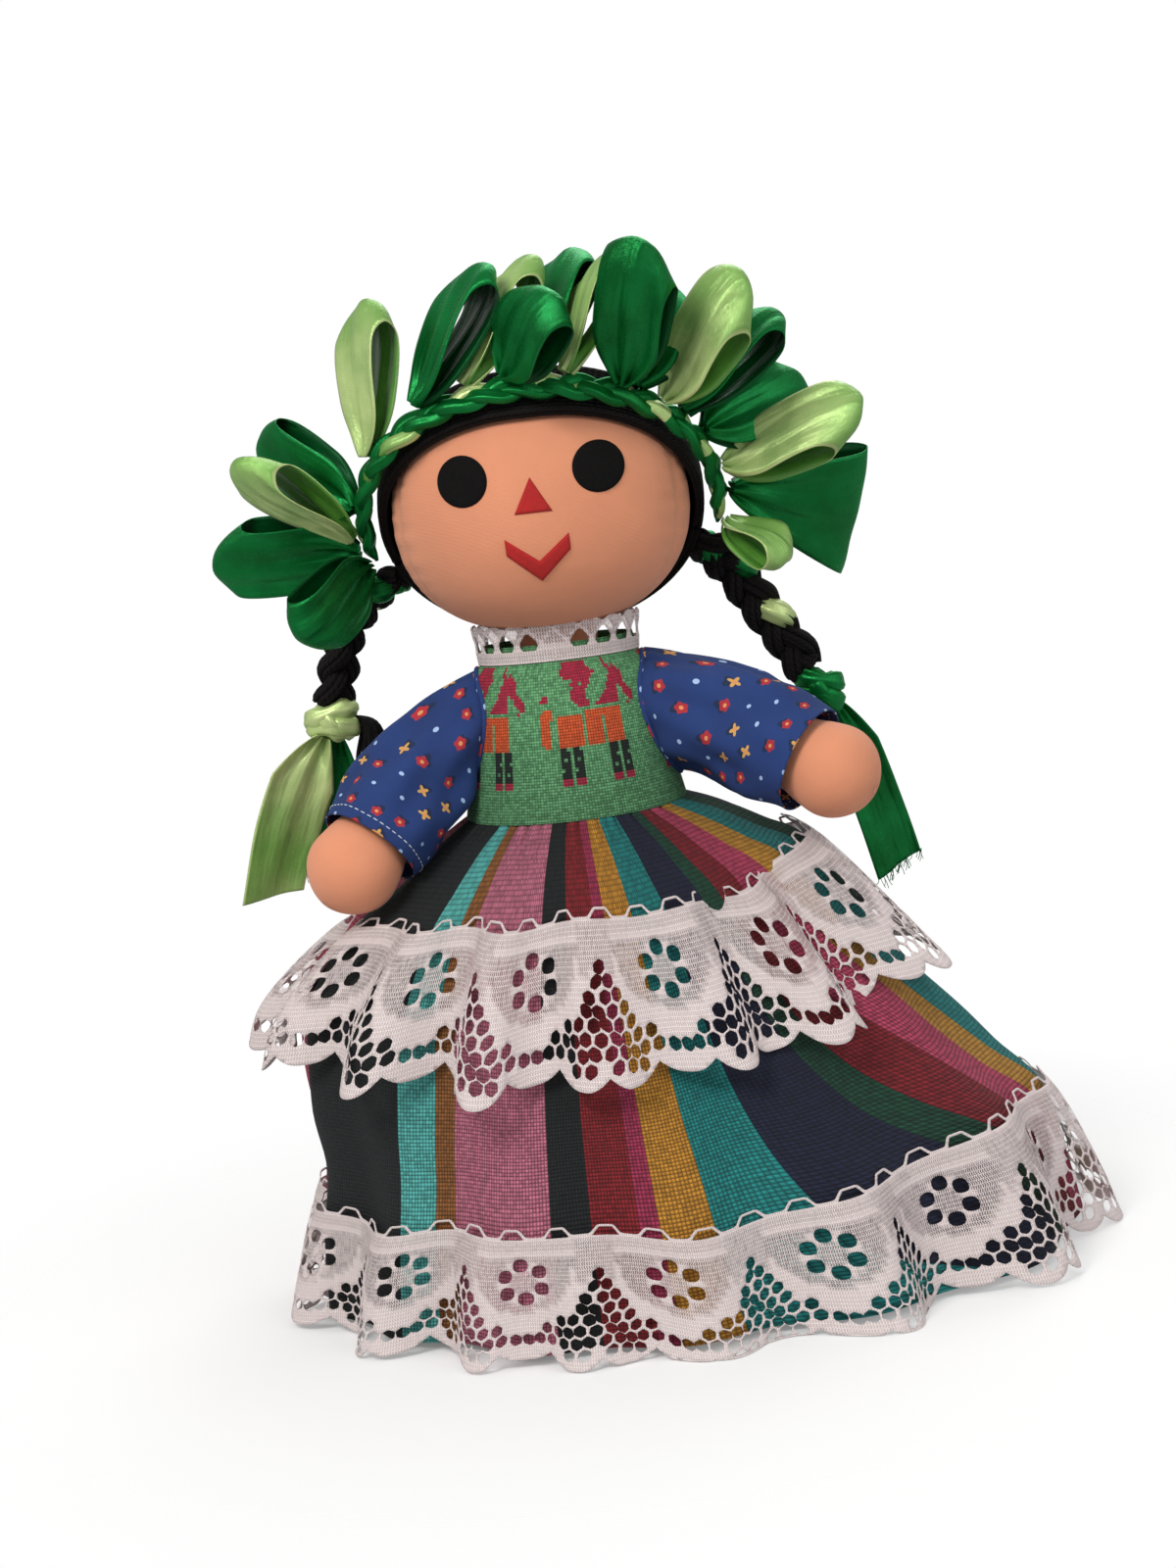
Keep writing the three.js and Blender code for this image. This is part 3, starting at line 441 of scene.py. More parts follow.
def ride(piece, body, slot, *nodes):
    """Puts a finished piece on its part of the doll, in place of the plain solids it stands for."""
    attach(piece, body)
    if nodes:
        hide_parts(*nodes)
    return piece


# Shader nodes
def node(tree, kind, inputs=(), **settings):
    """Adds a node; an input is given a number, a colour or another node's output."""
    made = tree.nodes.new(kind)
    for name, value in settings.items():
        setattr(made, name, value)
    for key, value in dict(inputs).items():
        value = value.socket if isinstance(value, Wire) else value
        if isinstance(value, bpy.types.NodeSocket):
            tree.links.new(value, made.inputs[key])
        else:
            made.inputs[key].default_value = value
    return made


def maths(operation, swapped=False):
    """A method that adds one kind of Math node."""
    def add_node(wire, *others):
        values = (*others, wire) if swapped else (wire, *others)
        return wire.after("ShaderNodeMath", dict(enumerate(values)), operation=operation)
    return add_node


class Wire:
    """A node's output. A sum, product or comparison of wires adds a node to their tree."""

    def __init__(self, socket):
        self.socket, self.tree = socket, socket.id_data

    def after(self, kind, inputs, output=0, **settings):
        return Wire(node(self.tree, kind, inputs, **settings).outputs[output])

    __add__, __sub__, __mul__ = maths("ADD"), maths("SUBTRACT"), maths("MULTIPLY")
    __truediv__, __rtruediv__ = maths("DIVIDE"), maths("DIVIDE", swapped=True)
    __mod__, __pow__, __abs__ = maths("MODULO"), maths("POWER"), maths("ABSOLUTE")
    __lt__, __gt__ = maths("LESS_THAN"), maths("GREATER_THAN")
    floor, fract, sine, cosine = maths("FLOOR"), maths("FRACT"), maths("SINE"), maths("COSINE")
    root, snap, highest, angle_to = maths("SQRT"), maths("SNAP"), maths("MAXIMUM"), maths("ARCTAN2")

    def stretch(self, low, high, to_low=0.0, to_high=1.0):
        """Spreads a range over another one, and holds what lies beyond at its ends."""
        inputs = {"Value": self, "From Min": low, "From Max": high, "To Min": to_low, "To Max": to_high}
        return self.after("ShaderNodeMapRange", inputs)

    def paint(self, first, second):
        """The first colour where this wire is 0, the second where it is 1."""
        colours = [value if isinstance(value, Wire) else (*value, 1) for value in (first, second)]
        return self.after("ShaderNodeMix", dict(zip((0, 6, 7), (self, *colours))), 2, data_type="RGBA")

    def between(self, first, second):
        return self.after("ShaderNodeMix", {"Factor": self, "A": first, "B": second})

    def scaled(self, scale):
        return self.after("ShaderNodeVectorMath", {0: self, "Scale": scale}, operation="SCALE")

    def xyz(self):
        return [Wire(socket) for socket in node(self.tree, "ShaderNodeSeparateXYZ", {0: self}).outputs]

    def noise(self, scale, detail=2.0, roughness=0.5):
        inputs = {"Vector": self, "Scale": scale, "Detail": detail, "Roughness": roughness}
        return self.after("ShaderNodeTexNoise", inputs, "Fac")

    def random(self, output="Value"):
        return self.after("ShaderNodeTexWhiteNoise", {"Vector": self}, output, noise_dimensions="3D")

    def attribute(self, name, output="Fac"):
        """One of the mesh's own attributes, in the tree of this wire."""
        return self.after("ShaderNodeAttribute", {}, output, attribute_name=name)


def combine(x, y, z=0.0):
    return x.after("ShaderNodeCombineXYZ", {0: x, 1: y, 2: z})


def shader_group(name, inputs, outputs, build):
    """A node group whose inputs without a default are vectors; build returns its outputs in order."""
    tree = bpy.data.node_groups.new(name, "ShaderNodeTree")
    for label, default in inputs.items():
        kind = "NodeSocketVector" if default is None else "NodeSocketFloat"
        socket = tree.interface.new_socket(label, in_out="INPUT", socket_type=kind)
        if default is not None:
            socket.default_value = default
    for label in outputs:
        tree.interface.new_socket(label, in_out="OUTPUT", socket_type="NodeSocketFloat")
    entry, leave = tree.nodes.new("NodeGroupInput"), tree.nodes.new("NodeGroupOutput")
    made = build({label: Wire(entry.outputs[label]) for label in inputs})
    for label, wire in zip(outputs, made):
        tree.links.new(wire.socket, leave.inputs[label])
    return tree


def plain_weave(given):
    """Over and under threads: a bulge for each crossing, and a random value for each thread."""
    x, y, _ = given["Cloth"].scaled(1.0 / given["Thread"]).xyz()
    checker = abs((x.floor() + y.floor()) % 2.0)
    across, along = abs((x * pi).sine()), abs((y * pi).sine())
    warp = across ** 0.5 * along.stretch(0, 1, 0.45, 1)
    weft = along ** 0.5 * across.stretch(0, 1, 0.45, 1)
    return checker.between(warp, weft), combine(x.floor(), y.floor(), 3.0).random()


def fibre_fuzz(given):
    """Short loose fibres: stretched fine noise over softer noise."""
    fine = given["Vector"].noise(1.0 / given["Size"], 3.0, 0.65)
    soft = given["Vector"].noise(0.2 / given["Size"])
    return fine * 0.7 + soft * 0.3, fine


def handling(given):
    """Broad uneven shade of cloth that has been stuffed and handled."""
    return (given["Vector"].noise(given["Scale"], 3.0).stretch(0.3, 0.7),)


def satin_sheen(given):
    """Fine lines across the ribbon, soft creases along it, and its woven edges."""
    x, y, _ = given["Cloth"].xyz()
    lines = combine(x * 500.0, y * 7000.0).noise(1.0)
    crease = combine(x * 190.0, y * 32.0).noise(1.0)
    return lines, crease, abs(x / given["Width"] - 0.5).stretch(0.465, 0.485)


def sprig_print(given):
    """Scattered sprigs on printed cotton: round flowers, four-petal flowers, dots and shadow leaves."""
    x, y, _ = given["Cloth"].scaled(1.0 / given["Spacing"]).xyz()
    row = y.floor()
    shifted = x + row % 2.0 * 0.5
    jx, jy, kind = combine(shifted.floor(), row, given["Seed"]).random("Color").xyz()
    across = shifted.fract() - jx.stretch(0, 1, 0.38, 0.62)
    up = y.fract() - jy.stretch(0, 1, 0.38, 0.62)
    radius = (across * across + up * up).root()
    angle = up.angle_to(across) + jx * 6.0

    def petals(count, depth, size):
        return radius < ((angle * float(count)).cosine() * depth + 1.0) * size

    def when(low, high):
        return (kind > low) * (kind < high)

    beside, lower = across - 0.06, up + 0.13
    leaf = (beside * beside + lower * lower).root() < (angle * 5.0).sine() * 0.05 + 0.2
    return (petals(5, 0.12, 0.2) * when(-0.1, 0.4), petals(4, 0.42, 0.165) * when(0.4, 0.62),
            petals(1, 0.0, 0.085) * when(0.62, 1.1), petals(1, 0.0, 0.07) * when(-0.1, 0.62),
            leaf * when(-0.1, 0.62))


def lace_threads(given):
    """Fine looped threads of machine lace: how much they cover, and how high they stand."""
    x, y, _ = given["Cloth"].xyz()
    bend = (y * 5200.0).sine() * 0.00016
    chain, rung = ((x + bend) * 7800.0).sine(), (y * 4300.0).sine()
    thread = chain.stretch(-0.45, 0.55).highest(rung.stretch(0.5, 1.0, 0, 0.8))
    loose = combine(x * 900.0, y * 300.0).noise(1.0)
    return (thread * loose).stretch(0.12, 0.5), thread


def yarn_twist(given):
    """Plies that wind round a yarn, from its place along and around."""
    wound = given["Around"] * (6 * pi) + given["Along"] * given["Twist"]
    fluff = given["Vector"].noise(2600.0, 3.0, 0.7)
    return abs((wound * 0.5).sine()) * 0.6 + fluff * 0.6, fluff


GROUPS = {}


def build_groups():
    for key, name, inputs, outputs, build in (
            ("weave", "Plain weave", {"Cloth": None, "Thread": 0.001}, ("Height", "Heather"), plain_weave),
            ("fuzz", "Fibre fuzz", {"Vector": None, "Size": 0.0004}, ("Height", "Mask"), fibre_fuzz),
            ("handling", "Handled cloth", {"Vector": None, "Scale": 30.0}, ("Shade",), handling),
            ("satin", "Satin sheen", {"Cloth": None, "Width": 0.025},
             ("Lines", "Crease", "Selvedge"), satin_sheen),
            ("sprigs", "Sprig print", {"Cloth": None, "Spacing": 0.01, "Seed": 1.0},
             ("Red", "Gold", "Dot", "Heart", "Leaf"), sprig_print),
            ("lace", "Lace threads", {"Cloth": None}, ("Cover", "Height"), lace_threads),
            ("twist", "Yarn twist", {"Vector": None, "Along": 0.0, "Around": 0.0, "Twist": 3000.0},
             ("Height", "Mask"), yarn_twist)):
        GROUPS[key] = shader_group(name, inputs, outputs, build)


def group(key, **inputs):
    """Places a shared effect in the material that its wires belong to, and gives its outputs by name."""
    tree = next(value.tree for value in inputs.values() if isinstance(value, Wire))
    made = node(tree, "ShaderNodeGroup", inputs, node_tree=GROUPS[key])
    return {socket.name: Wire(socket) for socket in made.outputs}


def shade_of(place, scale):
    return group("handling", Vector=place, Scale=scale)["Shade"]


def material(name, roughness, build, **shader_inputs):
    """A material whose build gives its colour, height and other values from its nodes."""
    made = bpy.data.materials.new(name)
    made.use_nodes = True
    tree = made.node_tree
    shader = tree.nodes["Principled BSDF"]
    shader.inputs["Roughness"].default_value = roughness
    for label, value in shader_inputs.items():
        shader.inputs[label.replace("_", " ")].default_value = value
    places = tree.nodes.new("ShaderNodeTexCoord").outputs
    links = build(Wire(places["Object"]), Wire(places["UV"]))
    bump = {"Height": links.pop("Height"), "Distance": links.pop("depth"), "Strength": 1.0}
    links["Normal"] = Wire(node(tree, "ShaderNodeBump", bump).outputs[0])
    for label, wire in links.items():
        tree.links.new(wire.socket, shader.inputs[label])
    return made


def darker(colour, share):
    return tuple(value * share for value in colour)


def paler(colour, share, more):
    return tuple(min(1, value * share + more) for value in colour)


def woven_cotton(colour, thread):
    """Fine plain cotton that is a little uneven in shade."""
    def build(place, cloth):
        weave, fuzz = group("weave", Cloth=cloth, Thread=thread), group("fuzz", Vector=place, Size=0.0005)
        tone = shade_of(place, 38.0).paint(darker(colour, 0.9), colour)
        # Painted shade: darker in the gaps between the threads
        tone = weave["Height"].stretch(0, 1, 0.3, 0).paint(tone, darker(colour, 0.6))
        return {"Base Color": tone, "Height": fuzz["Height"] * 0.5 + weave["Height"], "depth": 0.00012,
                "Roughness": fuzz["Mask"].stretch(0, 1, 0.78, 0.95)}
    return build


def felt_cloth(colour):
    def build(place, _cloth):
        fuzz = group("fuzz", Vector=place, Size=0.00045)
        tone = shade_of(place, 90.0).paint(darker(colour, 0.75), colour)
        tone = fuzz["Mask"].stretch(0.45, 0.75, 0, 0.5).paint(tone, paler(colour, 1.5, 0.01))
        return {"Base Color": tone, "Height": fuzz["Height"], "depth": 0.0003,
                "Roughness": fuzz["Mask"].stretch(0, 1, 0.85, 1.0)}
    return build


def satin(colour, dim, tip_shade_share=0.0, tip_shade_colour=(0, 0, 0)):
    """Satin ribbon: smooth along its threads, with a finely sewn edge and soft creases."""
    def build(place, cloth):
        sheen = group("satin", Cloth=cloth, Width=RIBBON_WIDTH * MM)
        deep = (colour[0] * dim * 0.8, colour[1] * dim, colour[2] * dim * 0.8)
        tone = shade_of(place, 60.0).paint(deep, colour)
        # Painted shade: darker along the soft creases
        tone = sheen["Crease"].stretch(0.5, 0.75, 0, 0.35).paint(tone, deep)
        # Painted shade: towards a loop's tip, 52 mm along the cloth, the colour turns to the given shade
        # colour
        from_tip = abs(cloth.xyz()[1] - 0.052)
        tone = from_tip.stretch(0.004, 0.034, tip_shade_share, 0).paint(tone, tip_shade_colour)
        tone = sheen["Selvedge"].paint(tone, darker(colour, 0.8))
        return {"Base Color": tone, "Height": sheen["Lines"] * 0.12 + sheen["Crease"], "depth": 0.0011,
                "Roughness": sheen["Lines"].stretch(0.2, 0.8, 0.19, 0.3)}
    return build


def yarn(colour):
    def build(place, _cloth):
        wound = group("twist", Vector=place, Along=place.attribute("along"), Around=place.attribute("around"),
                      Twist=2600.0)
        # Painted shade: darker in the grooves between the plies
        tone = wound["Height"].stretch(0.2, 1.0).paint(darker(colour, 0.35), colour)
        tone = wound["Mask"].stretch(0.55, 0.8, 0, 0.6).paint(tone, darker(colour, 2.2))
        return {"Base Color": tone, "Height": wound["Height"], "depth": 0.0006}
    return build


def brocade(ground, thread):
    """The bodice: heathered ground threads, with the woven figures painted thread by thread."""
    def build(place, cloth):
        weave, fuzz = group("weave", Cloth=cloth, Thread=thread), group("fuzz", Vector=place, Size=0.0004)
        heather = weave["Heather"].stretch(0.1, 0.9).paint(darker(ground, 0.72), paler(ground, 1.25, 0.03))
        bright = place.attribute("figure", "Color").scaled(weave["Heather"].stretch(0, 1, 0.75, 1.1))
        tone = place.attribute("figure", "Alpha").paint(heather, bright)
        # Painted shade: the whole bodice darkens towards its lower edge
        low = place.xyz()[2].stretch(0.17, 0.205, 0.68, 1.0)
        # Painted shade in the gaps between the threads, and a little painted light on their tops
        return {"Base Color": tone.scaled(low * weave["Height"].stretch(0.1, 0.9, 0.5, 1.05)),
                "Height": fuzz["Height"] * 0.35 + weave["Height"], "depth": 0.0005,
                "Roughness": fuzz["Mask"].stretch(0, 1, 0.8, 0.98)}
    return build


# Warp stripes of the skirt from the front of the waist towards the doll's left: width in degrees and colour
STRIPE_START = 4
ROSE, MUSTARD, TEAL, NAVY = (176, 62, 92), (184, 132, 46), (22, 126, 124), (18, 24, 50)
GREEN, WINE, COAL, PINK = (12, 62, 44), (122, 22, 32), (20, 26, 28), (190, 108, 130)
STRIPES = [
    (2.5, (156, 44, 78)), (7, (188, 130, 40)), (9, TEAL), (10, NAVY), (5, GREEN), (6.5, WINE), (8, ROSE),
    (8, MUSTARD), (14, TEAL), (11, GREEN), (9, NAVY), (14, GREEN), (12, (140, 34, 60)), (8, (172, 122, 46)),
    (14, (24, 104, 104)), (22, PINK), (10, COAL), (13, WINE), (8, MUSTARD), (14, TEAL), (12, NAVY),
    (16, GREEN), (13, WINE), (30, ROSE), (36, COAL), (6, (84, 176, 170)), (5, (140, 88, 40)), (21, PINK),
    (7, COAL), (9, (132, 26, 34)),
]


def striped_weave(thread):
    """Coarse hand-woven cloth whose warp changes colour in stripes."""
    def build(place, cloth):
        weave, fuzz = group("weave", Cloth=cloth, Thread=thread), group("fuzz", Vector=place, Size=0.0005)
        turn = (cloth.xyz()[0].snap(thread) / (SKIRT_WIDTH * MM) - STRIPE_START / 360).fract()
        ramp = node(turn.tree, "ShaderNodeValToRGB", {"Fac": turn})
        ramp.color_ramp.interpolation = "CONSTANT"
        stops, start = ramp.color_ramp.elements, 0
        for index, (width, colour) in enumerate(STRIPES):
            stop = stops[index] if index < 2 else stops.new(start / 360)
            stop.position, stop.color = start / 360, (*srgb(*colour), 1)
            start += width
        # The random heather of each thread, times painted shade in the gaps between threads and a little
        # painted light on their tops
        shade = weave["Heather"].stretch(0, 1, 0.72, 1.18) * weave["Height"].stretch(0.1, 0.95, 0.35, 1.1)
        return {"Base Color": Wire(ramp.outputs[0]).scaled(shade),
                "Height": fuzz["Height"] * 0.3 + weave["Height"], "depth": 0.0007,
                "Roughness": fuzz["Mask"].stretch(0, 1, 0.78, 0.98)}
    return build


def printed_cotton(ground, spacing):
    def build(place, cloth):
        sprig = group("sprigs", Cloth=cloth, Spacing=spacing, Seed=4.0)
        tone = shade_of(place, 45.0).paint(darker(ground, 0.75), ground)
        tone = (sprig["Leaf"] * 0.75).paint(tone, srgb(20, 34, 52))
        for label, colour in (("Red", (176, 44, 56)), ("Gold", (214, 164, 92)), ("Heart", (226, 150, 96)),
                              ("Dot", (168, 196, 236))):
            tone = sprig[label].paint(tone, srgb(*colour))
        weave = group("weave", Cloth=cloth, Thread=0.0004)
        return {"Base Color": tone, "Height": weave["Height"], "depth": 0.0001}
    return build


def lace_net(colour):
    """Lace: solid bars and edges, with finer see-through threads where the attribute sheer is high."""
    def build(place, cloth):
        threads = group("lace", Cloth=cloth)
        cover = threads["Cover"]
        solid, net = cover.stretch(0, 1, 0.78, 1.0), cover.stretch(0, 1, 0.12, 0.72)
        alpha = place.attribute("sheer").between(solid, net)
        # Painted shade: darker where the threads lie low between others
        tone = threads["Height"].stretch(0, 1).paint(darker(colour, 0.82), colour)
        return {"Base Color": tone, "Height": threads["Height"], "depth": 0.00025, "Alpha": alpha}
    return build


MATERIALS = {}


def build_materials(scene):
    cloth, ribbon = scene.doll_cloth, scene.doll_ribbon
    build_groups()
    looks = {
        "skin": ("Skin cotton", 0.85, woven_cotton(cloth.skin, cloth.skin_thread),
                 {"Sheen_Weight": 0.15, "Sheen_Roughness": 0.5}),
        "eye_felt": ("Black felt", 0.95, felt_cloth(cloth.eyes), {"Specular_IOR_Level": 0.15}),
        "red_felt": ("Red felt", 0.95, felt_cloth(cloth.mouth), {}),
        "shoe_felt": ("Shoe felt", 0.95, felt_cloth(cloth.shoe), {}),
        "bodice": ("Brocade", 0.9, brocade(cloth.ground, cloth.bodice_thread), {}),
        "sleeve": ("Sprigged calico", 0.88, printed_cotton(cloth.sleeve, cloth.sleeve_sprig), {}),
        "skirt": ("Striped weave", 0.9, striped_weave(cloth.skirt_thread), {}),
        "yarn": ("Black yarn", 0.9, yarn(scene.doll_hair.yarn), {"Specular_IOR_Level": 0.25}),
        "dark_satin": ("Dark green satin", 0.3, satin(ribbon.dark, 0.55),
                       {"Anisotropic": 0.4, "Metallic": 0.6, "Specular_Tint": (0.4, 1.0, 0.6, 1)}),
        # Painted shade: the dark satin darkened almost to black for the faces inside the dark loops
        "dark_satin_shade": ("Dark satin with painted shade", 0.4, satin(darker(ribbon.dark, 0.3), 0.5),
                        {"Specular_IOR_Level": 0.3, "Specular_Tint": (0.3, 0.95, 0.5, 1)}),
        "light_satin": ("Light green satin", 0.3, satin(ribbon.light, 0.6, 0.8, ribbon.light_satin_shade),
                        {"Anisotropic": 0.4, "Metallic": 0.3, "Specular_Tint": (0.95, 1.0, 0.8, 1)}),
        # Light satin with painted shade, for the faces inside the light loops
        "light_satin_shade": ("Light satin with painted shade", 0.4, satin(ribbon.light_satin_shade, 0.6), {}),
        "lace": ("Lace", 0.8, lace_net(scene.doll_lace.thread), {}),
        "thread": ("Pale sewing thread", 0.7, felt_cloth(srgb(214, 222, 232)), {}),
    }
    for key, (name, roughness, build, shader_inputs) in looks.items():
        MATERIALS[key] = material(name, roughness, build, **shader_inputs)


# Geometry Nodes: lines become yarns, and seams become rows of stitches
TREES = {}


def geometry_group(name, inputs):
    tree = bpy.data.node_groups.new(name, "GeometryNodeTree")
    tree.interface.new_socket("Geometry", in_out="INPUT", socket_type="NodeSocketGeometry")
    for label, kind, default in inputs:
        socket = tree.interface.new_socket(label, in_out="INPUT", socket_type=f"NodeSocket{kind}")
        if default is not None:
            socket.default_value = default
    tree.interface.new_socket("Geometry", in_out="OUTPUT", socket_type="NodeSocketGeometry")
    return tree, tree.nodes.new("NodeGroupInput").outputs, tree.nodes.new("NodeGroupOutput").inputs[0]


def end_group(tree, geometry, given, leave):
    """Every group ends the same way: smooth, realized, and with its own material."""
    smooth = node(tree, "GeometryNodeSetShadeSmooth", {0: geometry}).outputs[0]
    real = node(tree, "GeometryNodeRealizeInstances", {0: smooth}).outputs[0]
    done = node(tree, "GeometryNodeSetMaterial", {"Geometry": real, "Material": given["Material"]})
    tree.links.new(done.outputs[0], leave)
    return tree


def stored(tree, geometry, name, value):
    inputs = {"Geometry": geometry, "Name": name, "Value": value}
    return node(tree, "GeometryNodeStoreNamedAttribute", inputs, data_type="FLOAT").outputs[0]


def yarn_group():
    tree, given, leave = geometry_group("Yarn strands", [("Sides", "Int", 6), ("Material", "Material", None)])
    curve = node(tree, "GeometryNodeMeshToCurve", {0: given["Geometry"]}).outputs[0]
    place = node(tree, "GeometryNodeSplineParameter").outputs
    curve = stored(tree, curve, "along", place["Length"])
    radius = node(tree, "GeometryNodeInputNamedAttribute", {"Name": "radius"}, data_type="FLOAT").outputs[0]
    ring = node(tree, "GeometryNodeCurvePrimitiveCircle", {"Resolution": given["Sides"], "Radius": 1.0})
    ring = stored(tree, ring.outputs[0], "around", place["Factor"])
    inputs = {"Curve": curve, "Profile Curve": ring, "Scale": radius, "Fill Caps": True}
    tube = node(tree, "GeometryNodeCurveToMesh", inputs).outputs[0]
    return end_group(tree, tube, given, leave)


def stitch_group():
    tree, given, leave = geometry_group("Running stitches", [
        ("Pitch", "Float", 0.0032), ("Stitch", "Float", 0.0022), ("Thickness", "Float", 0.0005),
        ("Material", "Material", None)])
    curve = node(tree, "GeometryNodeMeshToCurve", {0: given["Geometry"]}).outputs[0]
    spots = node(tree, "GeometryNodeCurveToPoints", {"Curve": curve, "Length": given["Pitch"]}, mode="LENGTH")
    bead = node(tree, "GeometryNodeMeshUVSphere", {"Segments": 8, "Rings": 6, "Radius": 0.5}).outputs[0]
    thickness = Wire(given["Thickness"])
    size = combine(thickness, thickness, given["Stitch"])
    inputs = {"Points": spots.outputs["Points"], "Instance": bead,
              "Rotation": spots.outputs["Rotation"], "Scale": size}
    return end_group(tree, node(tree, "GeometryNodeInstanceOnPoints", inputs).outputs[0], given, leave)


def line_object(name, paths, radii=None):
    """Open lines through points in doll millimetres, as edges with a radius at each point."""
    mesh = bpy.data.meshes.new(name)
    edges, start = [], 0
    for path in paths:
        edges += [(start + i, start + i + 1) for i in range(len(path) - 1)]
        start += len(path)
    mesh.from_pydata((np.concatenate(paths) * MM + AXIS).tolist(), edges, [])
    if radii is not None:
        layer = mesh.attributes.new("radius", "FLOAT", "POINT")
        layer.data.foreach_set("value", (np.concatenate(radii) * MM).astype(np.float32))
    return placed(name, mesh)


def baked(lines, group, **inputs):
    """Runs a geometry group on an object of lines and keeps what it makes as a plain mesh."""
    modifier = lines.modifiers.new(group.name, "NODES")
    modifier.node_group = group
    for item in group.interface.items_tree:
        if item.in_out == "INPUT" and item.name in inputs:
            modifier[item.identifier] = inputs[item.name]
    shown = lines.evaluated_get(bpy.context.evaluated_depsgraph_get())
    mesh = bpy.data.meshes.new_from_object(shown)
    if not mesh.polygons:
        raise RuntimeError(f"{group.name} made nothing for {lines.name}")
    mesh.name = lines.name
    lines.modifiers.remove(modifier)
    lines.data = mesh
    return lines


def yarns(name, paths, radii, material="yarn", sides=6):
    lines = line_object(name, paths, [np.broadcast_to(r, len(p)) for r, p in zip(radii, paths)])
    return baked(lines, TREES["yarn"], Sides=sides, Material=MATERIALS[material])


def stitches(name, paths, material, pitch, length, thickness):
    sizes = {"Pitch": pitch * MM, "Stitch": length * MM, "Thickness": thickness * MM}
    return baked(line_object(name, paths), TREES["stitch"], Material=MATERIALS[material], **sizes)


def points_of(*parts):
    """The numbers of all points in parts of a grid, in order."""
    return sorted(set().union(*(part.ravel().tolist() for part in parts)))


# Cloth is simulated at ten times its size, where the solver's own tolerances are small
SWELL_SCALE = 10
SWELL_FRAMES = 18


def swell(piece, pinned, pressure, cap):
    """Lets a stuffed piece fill out as cloth under pressure between its seams, and keeps that shape."""
    rest = np.array([v.co for v in piece.data.vertices])
    middle = rest.mean(axis=0)
    piece.data.vertices.foreach_set("co", ((rest - middle) * SWELL_SCALE).astype(np.float32).ravel())
    group = piece.vertex_groups.new(name="seams")
    group.add(pinned, 1.0, "REPLACE")
    modifier = piece.modifiers.new("Cloth", "CLOTH")
    settings = modifier.settings
    settings.quality = 5
    settings.mass = 0.3
    settings.tension_stiffness = settings.compression_stiffness = 12
    settings.bending_stiffness = 0.3
    settings.use_pressure = True
    settings.uniform_pressure_force = pressure
    settings.vertex_group_mass = "seams"
    settings.effector_weights.gravity = 0
    modifier.collision_settings.use_collision = False
    scene = bpy.context.scene
    for step in range(1, SWELL_FRAMES + 1):
        scene.frame_set(step)
    shown = piece.evaluated_get(bpy.context.evaluated_depsgraph_get())
    moved = np.array([v.co for v in shown.data.vertices]) / SWELL_SCALE + middle
    piece.modifiers.remove(modifier)
    piece.vertex_groups.remove(group)
    scene.frame_set(1)
    shift = moved - rest
    far = np.linalg.norm(shift, axis=1, keepdims=True)
    limit = cap * MM
    soft = limit * np.tanh(far / limit) / np.maximum(far, 1e-9)
    piece.data.vertices.foreach_set("co", (rest + shift * soft).astype(np.float32).ravel())
    piece.data.update()


def smoothstep(value):
    value = np.clip(value, 0, 1)
    return value * value * (3 - 2 * value)


# The skirt's surface, as the frame has it, at any turn and row
SKIRT_ROWS = len(FLARE["front"])


def skirt_surface(turn, row, offset=0.0, lift=0.0):
    across, along = np.cos(turn), np.sin(turn)
    weights = {"left": np.maximum(across, 0) ** 2, "right": np.maximum(-across, 0) ** 2,
               "front": np.maximum(-along, 0) ** 2, "back": np.maximum(along, 0) ** 2}
    radius = drop = 0
    for way, weight in weights.items():
        flare, fall = SKIRT_CURVES[way]
        place = np.linspace(0, SKIRT_ROWS - 1, len(flare))
        radius = radius + weight * (WAIST[way] + (HEM[way] - WAIST[way]) * np.interp(row, place, flare))
        drop = drop + weight * np.interp(row, place, fall)
    share = row / (SKIRT_ROWS - 1)
    depth = FOLD_DEPTH * (0.12 + 0.88 * share**0.8)
    fine = np.cos(FOLD_COUNT * turn + 0.9 * np.sin(2 * turn) + 0.5)
    radius = radius + depth * (0.62 * fine + 0.38 * np.cos(5 * turn + 1.3)) + offset
    height = SKIRT_TOP - (SKIRT_TOP - HEM_HEIGHT) * drop + lift
    return points_at(radius * across, radius * along, height)


SKIRT_CURVES = {way: smooth_curve(table, 201).T for way, table in FLARE.items()}


def arm_way(side):
    down, forward = radians(ARM_DOWN[side]), radians(ARM_FORWARD[side])
    level = cos(forward)
    return np.array([SIDES[side] * cos(down) * level, -sin(forward), -sin(down) * level])


def shoulder_point(side):
    return np.array([SIDES[side] * SHOULDER_OFFSET, 0, SHOULDER_HEIGHT])


def bodice_half(height):
    """Half width and half depth of the bodice at a height."""
    heights, wide, deep = BODICE_CURVE
    return np.interp(height, heights, wide), np.interp(height, heights, deep)


BODICE_CURVE = smooth_curve(BODICE, 121)
BODICE_CURVE = BODICE_CURVE[np.argsort(BODICE_CURVE[:, 0])].T


